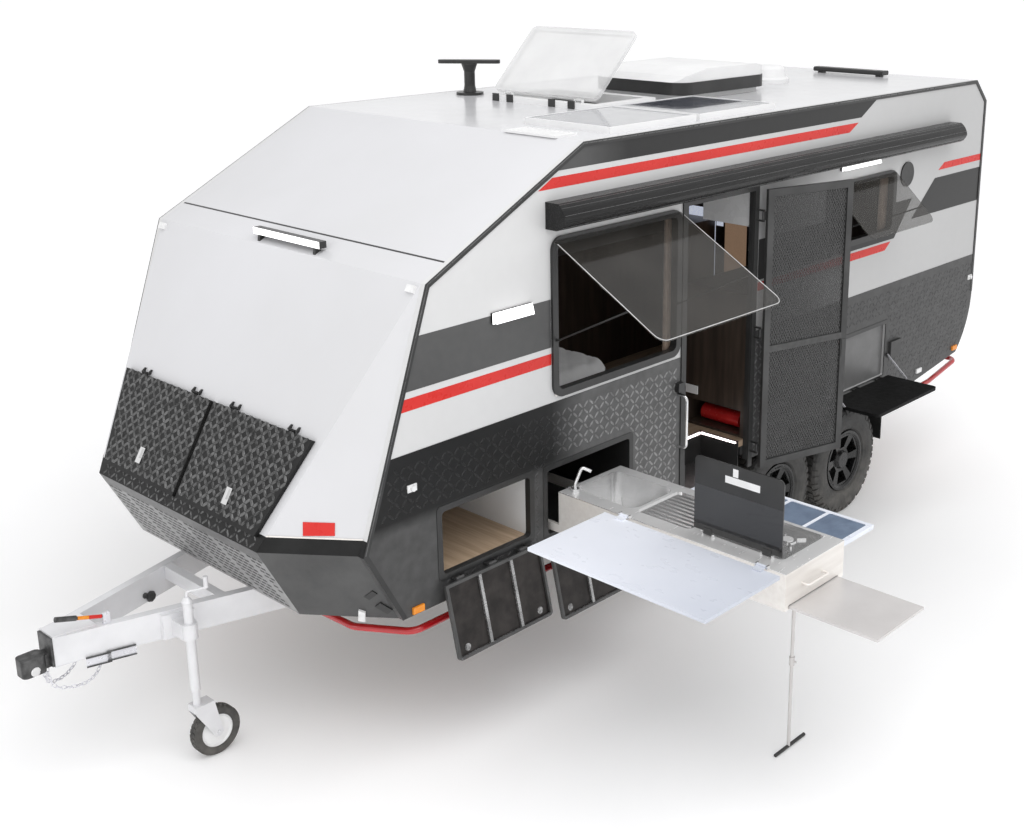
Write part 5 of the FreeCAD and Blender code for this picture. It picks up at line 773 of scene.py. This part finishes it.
def ring_tyre(name, node, body, centre, radius, half, bead, blocks, rows, lug):
    """A ribbed tyre: a turned carcass with rows of tread blocks and shoulder lugs."""
    shape = Shape()
    crown = radius - lug
    wall = crown - bead
    shares = [(0.80, 0), (0.93, 0.10), (0.985, 0.30), (1, 0.48), (0.985, 0.66), (0.95, 0.80), (0.88, 0.92)]
    profile = [(-width * half, bead + height * wall) for width, height in shares]
    profile += [(-0.76 * half, crown - 0.01 * wall), (-0.4 * half, crown)]
    profile += [(-y, r) for y, r in profile[::-1]]

    def spot(y, r, turn):
        """A point at a distance beside the tyre's middle, a radius and an angle."""
        return centre[0] + r * math.cos(turn), centre[1] + y, centre[2] + r * math.sin(turn)

    steps = blocks * 2
    points = []
    for k in range(steps):
        turn = 2 * math.pi * k / steps
        points += [spot(y, r, turn) for y, r in profile]
    count = len(profile)
    faces = []
    for k in range(steps):
        base, after = k * count, ((k + 1) % steps) * count
        for m in range(count - 1):
            faces.append((base + m, after + m, after + m + 1, base + m + 1))
    shape.add(points, faces)
    pitch = 2 * math.pi / blocks
    for row in range(rows):
        low = -0.74 + 1.48 * row / rows + 0.03
        high = -0.74 + 1.48 * (row + 1) / rows - 0.03
        for k in range(blocks):
            begin = k * pitch + (pitch / 2 if row % 2 else 0)
            skew = 0.16 * pitch if row < rows / 2 else -0.16 * pitch
            quad = []
            for r0 in (crown - 1.5, radius):
                for y, turn in ((low, begin), (high, begin + skew), (high, begin + skew + 0.76 * pitch),
                                (low, begin + 0.76 * pitch)):
                    quad.append(spot(y * half, r0, turn))
            shape.add(quad, [(4, 5, 6, 7), (0, 1, 5, 4), (1, 2, 6, 5), (2, 3, 7, 6), (3, 0, 4, 7)])
    for sign_y in (-1, 1):
        for k in range(blocks):
            begin = k * pitch + (0.12 * pitch if k % 2 else 0)
            reach = 0.70 if k % 2 else 0.80
            lug_points = []
            for y, r in ((0.75, radius - 0.6), (0.90, crown - 0.02 * wall),
                         (0.99, bead + (reach + 0.05) * wall), (0.95, bead + reach * wall),
                         (0.86, bead + 0.90 * wall), (0.72, crown - 2)):
                for turn in (begin, begin + 0.62 * pitch):
                    lug_points.append(spot(y * half * sign_y, r, turn))
            caps = [(0, 2, 4, 6, 8, 10), (11, 9, 7, 5, 3, 1)]
            sides = [(2 * m, 2 * m + 1, (2 * m + 3) % 12, (2 * m + 2) % 12) for m in range(6)]
            shape.add(lug_points, caps + sides)
    made = shape.make(name, "tyre_rubber", body)
    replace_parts(made, node)


TYRE_RADIUS, HALF_TRACK = 395, 980
for x, row in ((-3420, "front"), (-4265, "rear")):
    for side, name in SIDES:
        ring_tyre(f"tread_tyre_{row}_{name}", f"tyre_{row}_{name}", f"wheel_{row}_{name}",
                  (x, HALF_TRACK * side, TYRE_RADIUS), TYRE_RADIUS,
                  half=132, bead=221, blocks=46, rows=4, lug=9)
ring_tyre("jockey_tread_tyre", "jockey_tyre", "jockey_wheel", (367, 345, 130), 130,
          half=29, bead=86, blocks=30, rows=2, lug=4)


# Bedding and curtains

def mattress_pad():
    """A quilted mattress: crowned, with sewn diamonds on top and soft upright sides."""
    x0, x1, y0, y1, z0, z1 = -2195, -310, -750, 750, 1388, 1568
    corner, across, along = 130, 110, 130
    middle, stitch, edge = -1252, 170, z1 - 62
    shape = Shape()
    points = []

    def edge_gap(x, y):
        """The distance inside the pad's outline, whose rear corners are round."""
        gap = min(x - x0, x1 - x, y - y0, y1 - y)
        for cy in (y0 + corner, y1 - corner):
            dy = (cy - y) if cy < 0 else (y - cy)
            dx = x0 + corner - x
            if dx > 0 and dy > 0:
                gap = min(gap, corner - math.hypot(dx, dy))
        return gap

    for i in range(along + 1):
        for j in range(across + 1):
            x = x0 + (x1 - x0) * i / along
            y = y0 + (y1 - y0) * j / across
            for cy in (y0 + corner, y1 - corner):
                dy = (cy - y) if cy < 0 else (y - cy)
                dx = x0 + corner - x
                if dx > 0 and dy > 0 and math.hypot(dx, dy) > corner:
                    scale = corner / math.hypot(dx, dy)
                    x = x0 + corner - dx * scale
                    y = cy - dy * scale if cy < 0 else cy + dy * scale
            gap = max(edge_gap(x, y), 0)
            rim = 1 - max(0.0, 1 - gap / 55) ** 2.2
            quilt = abs(math.sin(math.pi * (x + y) / stitch)) * abs(math.sin(math.pi * (x - y) / stitch))
            height = edge + 46 * rim + 14 * min(1.0, quilt ** 0.5 * 1.3) * min(1.0, gap / 60)
            points.append((x, y, height))
    wide = across + 1
    faces = [(i * wide + j, (i + 1) * wide + j, (i + 1) * wide + j + 1, i * wide + j + 1)
             for i in range(along) for j in range(across)]
    border = [i * wide for i in range(along + 1)] + [along * wide + j for j in range(1, across + 1)]
    border += [i * wide + across for i in range(along - 1, -1, -1)] + list(range(across - 1, 0, -1))
    last = border
    for level in range(1, 5):
        height = edge - (edge - z0) * level / 4
        swell = 6 * math.sin(math.pi * level / 4)
        fresh = []
        for order, index in enumerate(border):
            x, y, _ = points[index]
            ruffle = 1.5 * math.sin(order * 1.9)
            pull = (1 - (swell + ruffle) / 900) if level < 4 else 0.993
            fresh.append(len(points))
            points.append((middle + (x - middle) * pull, y * pull, height))
        count = len(border)
        faces += [(last[k], last[(k + 1) % count], fresh[(k + 1) % count], fresh[k])[::-1]
                  for k in range(count)]
        last = fresh
    faces.append(tuple(last))
    shape.add(points, faces)
    made = shape.make("quilted_mattress", "mattress_cloth", "body", True)
    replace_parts(made, "mattress")


mattress_pad()


def curtain(name, x_low, x_high, z_low, z_high, folds, node=None):
    """A gathered curtain: a pleated sheet that hangs from its upper edge."""
    shape = Shape()
    steps, rows = folds * 10, 14
    points, lengths = [], []
    for r in range(rows + 1):
        fall = r / rows
        previous, length = None, 0.0
        for k in range(steps + 1):
            place = k / steps
            x = x_low + (x_high - x_low) * place
            wave = 2 * math.pi * folds * place + 0.5 * math.sin(3 * fall + k * 0.05)
            y = 1100 + (9 + 4 * fall) * math.sin(wave)
            spot = (x, y)
            if previous:
                length += math.dist(previous, spot)
            previous = spot
            points.append((x, y, z_high - (z_high - z_low) * fall))
        lengths.append(length)
    wide = steps + 1
    faces = [(r * wide + k, r * wide + k + 1, (r + 1) * wide + k + 1, (r + 1) * wide + k)
             for r in range(rows) for k in range(steps)]
    shape.add(points, faces)
    made = shape.make(name, "curtain_cloth", "body", True)
    if node:
        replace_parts(made, node)


curtain("rear_window_curtain_front", -3900, -3805, 1960, 2440, 5, "curtains")
curtain("rear_window_curtain_back", -4635, -4540, 1960, 2440, 5)
curtain("bed_window_curtain", -2290, -2225, 1640, 2500, 4)


# Small fittings

for side, name in SIDES:
    spot = BROW + NOSE_RUN * 1240 + NOSE_UP * HATCH_FACE + Vector((0, 400 * side, 0))
    latch = Shape()
    grip = NOSE_RUN * 26
    for centre, half, width, lift, depth in ((spot, NOSE_RUN * 42, 22, 1.0, 3),
                                             (spot - grip * 0.4, grip, 8, 4, 7)):
        wide = Vector((0, width, 0))
        ring = [centre - half - wide, centre + half - wide, centre + half + wide, centre - half + wide]
        latch.plate(ring, lift, depth)
    latch.make(f"hatch_latch_{name}", "chrome", f"front_hatch_{name}")

box_piece("step_light", "lit_strip", (-2930, -2430, 826, 834, 903, 913), (-2943, -2937, 834, 1105, 903, 913))

# A painted reflection on the hob's lid: a pale band, with its blank label
LID_FACE = -1342
ring = [(2031, 1396), (2551, 1396), (2551, 1518)] + bend(2523, 1518, 28, 15, 90, 15)
ring += [(2523, 1546), (2059, 1546)] + bend(2059, 1518, 28, 105, 180, 15) + [(2031, 1518)]
plate_piece("lid_reflection_band", "lid_painted_reflection", [[(LID_FACE, y, z) for y, z in ring]], 0.2, 0.4, "hob_lid")
marks = []
for y0, y1, z0, z1 in ((2214, 2417, 1450, 1486), (2259, 2290, 1490, 1531)):
    marks.append([(LID_FACE, y0, z0), (LID_FACE, y1, z0), (LID_FACE, y1, z1), (LID_FACE, y0, z1)])
plate_piece("blank_label", "white_sticker", marks, 0.8, 0.4, "hob_lid")

box_piece("socket_plate", "white_plastic", (-3010, -3004, 630, 745, 1130, 1185))
TRACK_TOP = 1671
box_piece("window_track", "brushed_steel", (-2276, -1280, 1122, 1160, TRACK_TOP - 16, TRACK_TOP))
box_piece("black_clips", "black_trim",
          *((x - 16, x + 16, 1130, 1161, TRACK_TOP, TRACK_TOP + 9) for x in (-1426, -1744, -1970)),
          *((-2476, -2466, y - 26, y + 26, 2957, 3004) for y in (-505, -378, -11, 154)))

PARTITION = (-4929.5, -4926)
# Painted reflection and painted light: the partition's mirror and door glow, though they are no lamps
box_piece("partition_mirror", "mirror_painted_reflection", (*PARTITION, -866, -596, 1290, 1890),
          (*PARTITION, -586, -520, 1760, 2030))
box_piece("partition_door", "wood_painted_light", (*PARTITION, -500, -290, 1300, 2120))


PANE_HINGE_Y, PANE_HINGE_Z, PANE_TURN = WALL + 16.3, 2480, 61


def pane_point(x, fall):
    """A point on the propped window pane's outer face, a distance below its hinge."""
    sweep = math.radians(PANE_TURN)
    out = 6.5 * math.cos(sweep) + fall * math.sin(sweep)
    rise = 6.5 * math.sin(sweep) - fall * math.cos(sweep)
    return Vector((x, PANE_HINGE_Y + out, PANE_HINGE_Z + rise))


edge = [(-1265, 30), (-1265, 740)] + bend(-1322, 749, 57, 15, 91, 15)
edge += [(-2218, 806)] + bend(-2218, 749, 57, 105, 181, 15) + [(-2275, 30)]
tube_piece("pane_rim", "pane_edge", [[pane_point(x, fall) for x, fall in edge]], 2.6)

# Painted highlights: pale lines along the awning's case
AWNING_HIGHLIGHTS = ((1244, 2680), (1260, 2664), (1285.5, 2630), (1266, 2566))
tube_piece("awning_highlight_lines", "highlight_grey", [[(-1228, y, z), (-5382, y, z)] for y, z in AWNING_HIGHLIGHTS], 1.8)

# Clips and a reflector on the chin's left cheek
CHIN_SIDE = Vector((0.738, 0.553, -0.388)).normalized()
clips = Shape()
for first, second, width, depth in (((-87, 1045, 922), (-100, 1093, 964), 30, 4),
                                    ((-128, 1074, 884), (-176, 1104, 838), 42, 7)):
    start, end = Vector(first), Vector(second)
    aside = CHIN_SIDE.cross(end - start).normalized() * width / 2
    clips.plate([start - aside, end - aside, end + aside, start + aside], 0.5, depth)
clips.make("chin_clips", "black_trim")
ring = [(-98, 957, 774), (-120, 983, 769), (-105, 1007, 832), (-82, 984, 844)]
plate_piece("chin_reflector", "white_lens", [ring], 1, 12)

# Sleeves on the brake lever, the coupling's cap, and what hangs on the drawbar's beams
LEVER_FOOT, LEVER = Vector((750, 115, 830)), Vector((235, 4, 74))
tube_piece("brake_release", "stripe_red", [[LEVER_FOOT + LEVER * 0.10, LEVER_FOOT + LEVER * 0.36]], 9.2, 12)
tube_piece("brake_collar", "amber_lens", [[LEVER_FOOT + LEVER * 0.37, LEVER_FOOT + LEVER * 0.60]], 9.0, 12)
cap = Shape()
cap.disc((1083, 46, 648), (0, 1, 0), 23, 4)
cap.make("coupling_cap", "chrome")
BEAM_X, BEAM_Y, BEAM_LEAN = 996, 66, 0.3006
brackets = Shape()
edges = Shape()
for x0, x1 in ((757, 867), (645, 775)):
    drop = 0 if x0 > 700 else 6
    near, far = (Vector((x, BEAM_Y + (BEAM_X - x) * BEAM_LEAN, 0)) for x in (x1, x0))
    for low, high, shape, lift, depth in ((602 + drop, 650 + drop, brackets, 0.4, 3),
                                          (600 + drop, 605 + drop, edges, 0.4, 9),
                                          (647 + drop, 652 + drop, edges, 0.4, 9)):
        base, top = Vector((0, 0, low)), Vector((0, 0, high))
        shape.plate([near + base, far + base, far + top, near + top], lift, depth)
brackets.make("lead_brackets", "zinc_plate")
edges.make("lead_bracket_edges", "cast_iron")
switch = Shape()
INWARD = (-0.288, 0.958, 0)
switch.disc((350, -206, 668), INWARD, 30, 16, 8)
switch.disc((385, -197, 688), INWARD, 16, 12, 8)
switch.make("breakaway_switch", "black_trim")


# Safety chains

def chain(side):
    """The ways round the links that are strung along one safety chain's way."""
    way = [(1018, 24, 632), (1018, 22, 610), (1016, 23, 580), (1009, 27, 550), (996, 33, 528), (976, 40, 514),
           (940, 53, 506), (905, 67, 504), (872, 81, 510), (845, 90, 523), (822, 97, 545), (804, 101, 572),
           (793, 103, 600), (790, 103, 641)]
    spots = [Vector((x, y * side, z)) for x, y, z in way]
    lengths = [0.0]
    for first, second in zip(spots, spots[1:]):
        lengths.append(lengths[-1] + (second - first).length)
    count = 18
    links = []
    for index in range(count):
        middle = lengths[-1] * (index + 0.5) / count
        step = next(k for k in range(1, len(lengths)) if lengths[k] >= middle)
        way_on = (spots[step] - spots[step - 1]).normalized()
        spot = spots[step - 1] + way_on * (middle - lengths[step - 1])
        half = lengths[-1] / count / 2 + 3.4
        flat = way_on.cross(Vector((0, 1, 0))).normalized()
        if index % 2:
            flat = way_on.cross(flat).normalized()
        turns = [2 * math.pi * k / 16 for k in range(17)]
        links.append([spot + way_on * (half * math.cos(turn)) + flat * (7.5 * math.sin(turn))
                      for turn in turns])
    return links


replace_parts(tube_piece("chain_links_left", "zinc_plate", chain(1), 2.6), "safety_chains")
tube_piece("chain_links_right", "zinc_plate", chain(-1), 2.6)


# Floor, light and camera

def studio_floor():
    """A plain pale floor, as in a white studio, that glows a little more away from the trailer: a painted
    shadow round it.
    """
    data = bpy.data.meshes.new("studio_floor")
    span, height = 900, FLOOR - 0.0002
    corners = [(-span, -span, height), (span, -span, height), (span, span, height), (-span, span, height)]
    data.from_pydata(corners, [], [(0, 1, 2, 3)])
    tree, bsdf = tree_of("studio_floor")
    pale = two_colours(tree, noise(tree, 0.8, 5.0), grey(0.90), grey(0.925))
    coloured(tree, bsdf, pale, 2.0, 0.5, 0.6)
    bsdf.inputs["Specular IOR Level"].default_value = 0.2
    bsdf.inputs["Emission Color"].default_value = (1.0, 1.0, 1.0, 1)
    # Painted shadow: the glow is weaker near the trailer
    place = tree.nodes.new("ShaderNodeTexCoord")
    reach = tree.nodes.new("ShaderNodeVectorMath")
    reach.operation = "DISTANCE"
    reach.inputs[1].default_value = (-3.0, 0.0, FLOOR)
    link(tree, place.outputs["Object"], reach.inputs[0])
    link(tree, spread(tree, reach.outputs["Value"], 0.10, 0.26, 2.6, 5.6), bsdf.inputs["Emission Strength"])
    data.materials.append(MATERIALS["studio_floor"])
    floor = bpy.data.objects.new("studio_floor", data)
    bpy.context.scene.collection.objects.link(floor)


studio_floor()

world = bpy.data.worlds.new("studio")
bpy.context.scene.world = world
world.use_nodes = True
sky = world.node_tree
direction = sky.nodes.new("ShaderNodeTexCoord")
parts = sky.nodes.new("ShaderNodeSeparateXYZ")
link(sky, direction.outputs["Generated"], parts.inputs["Vector"])
shade = two_colours(sky, parts.outputs["Z"], (1.0, 1.0, 1.0), (0.72, 0.72, 0.73), 0.0, 0.85)
link(sky, shade, sky.nodes["Background"].inputs["Color"])
sky.nodes["Background"].inputs["Strength"].default_value = 1.04


def soft_light(name, spot, target, size, power):
    """A rectangular lamp that looks at a target."""
    data = bpy.data.lights.new(name, "AREA")
    data.shape = "RECTANGLE"
    data.size, data.size_y = size
    data.energy = power
    lamp = bpy.data.objects.new(name, data)
    lamp.location = spot
    lamp.rotation_mode = "QUATERNION"
    lamp.rotation_quaternion = (Vector(target) - Vector(spot)).to_track_quat("-Z", "Y")
    bpy.context.scene.collection.objects.link(lamp)


soft_light("overhead", (-1.0, 4.5, 7.5), (-1.5, 2.5, -0.6), (10, 7), 380)
soft_light("front_fill", (8.0, 0.0, 4.0), (-1.0, 0, 0.6), (4, 4), 60)

# The camera fitted to the photograph: its place in metres, and its focal length and centre in pixels
EYE = Vector((2.3426, 5.7367, 3.2558))
YAW, PITCH = math.radians(-138.25), math.radians(-16.15)
WIDTH, HEIGHT = 1024, 840
FOCAL, CENTRE_X, CENTRE_Y = 1333.2, 610.4, 329.8
SENSOR = 36
camera_data = bpy.data.cameras.new("camera")
camera_data.sensor_width = SENSOR
camera_data.lens = FOCAL * SENSOR / WIDTH
camera_data.shift_x = (WIDTH / 2 - CENTRE_X) / WIDTH
camera_data.shift_y = (CENTRE_Y - HEIGHT / 2) / WIDTH
camera = bpy.data.objects.new("camera", camera_data)
camera.location = EYE
gaze = Vector((math.cos(PITCH) * math.cos(YAW), math.cos(PITCH) * math.sin(YAW), math.sin(PITCH)))
camera.rotation_mode = "QUATERNION"
camera.rotation_quaternion = gaze.to_track_quat("-Z", "Y")
bpy.context.scene.collection.objects.link(camera)
bpy.context.scene.camera = camera
bpy.context.scene.view_settings.view_transform = "Standard"
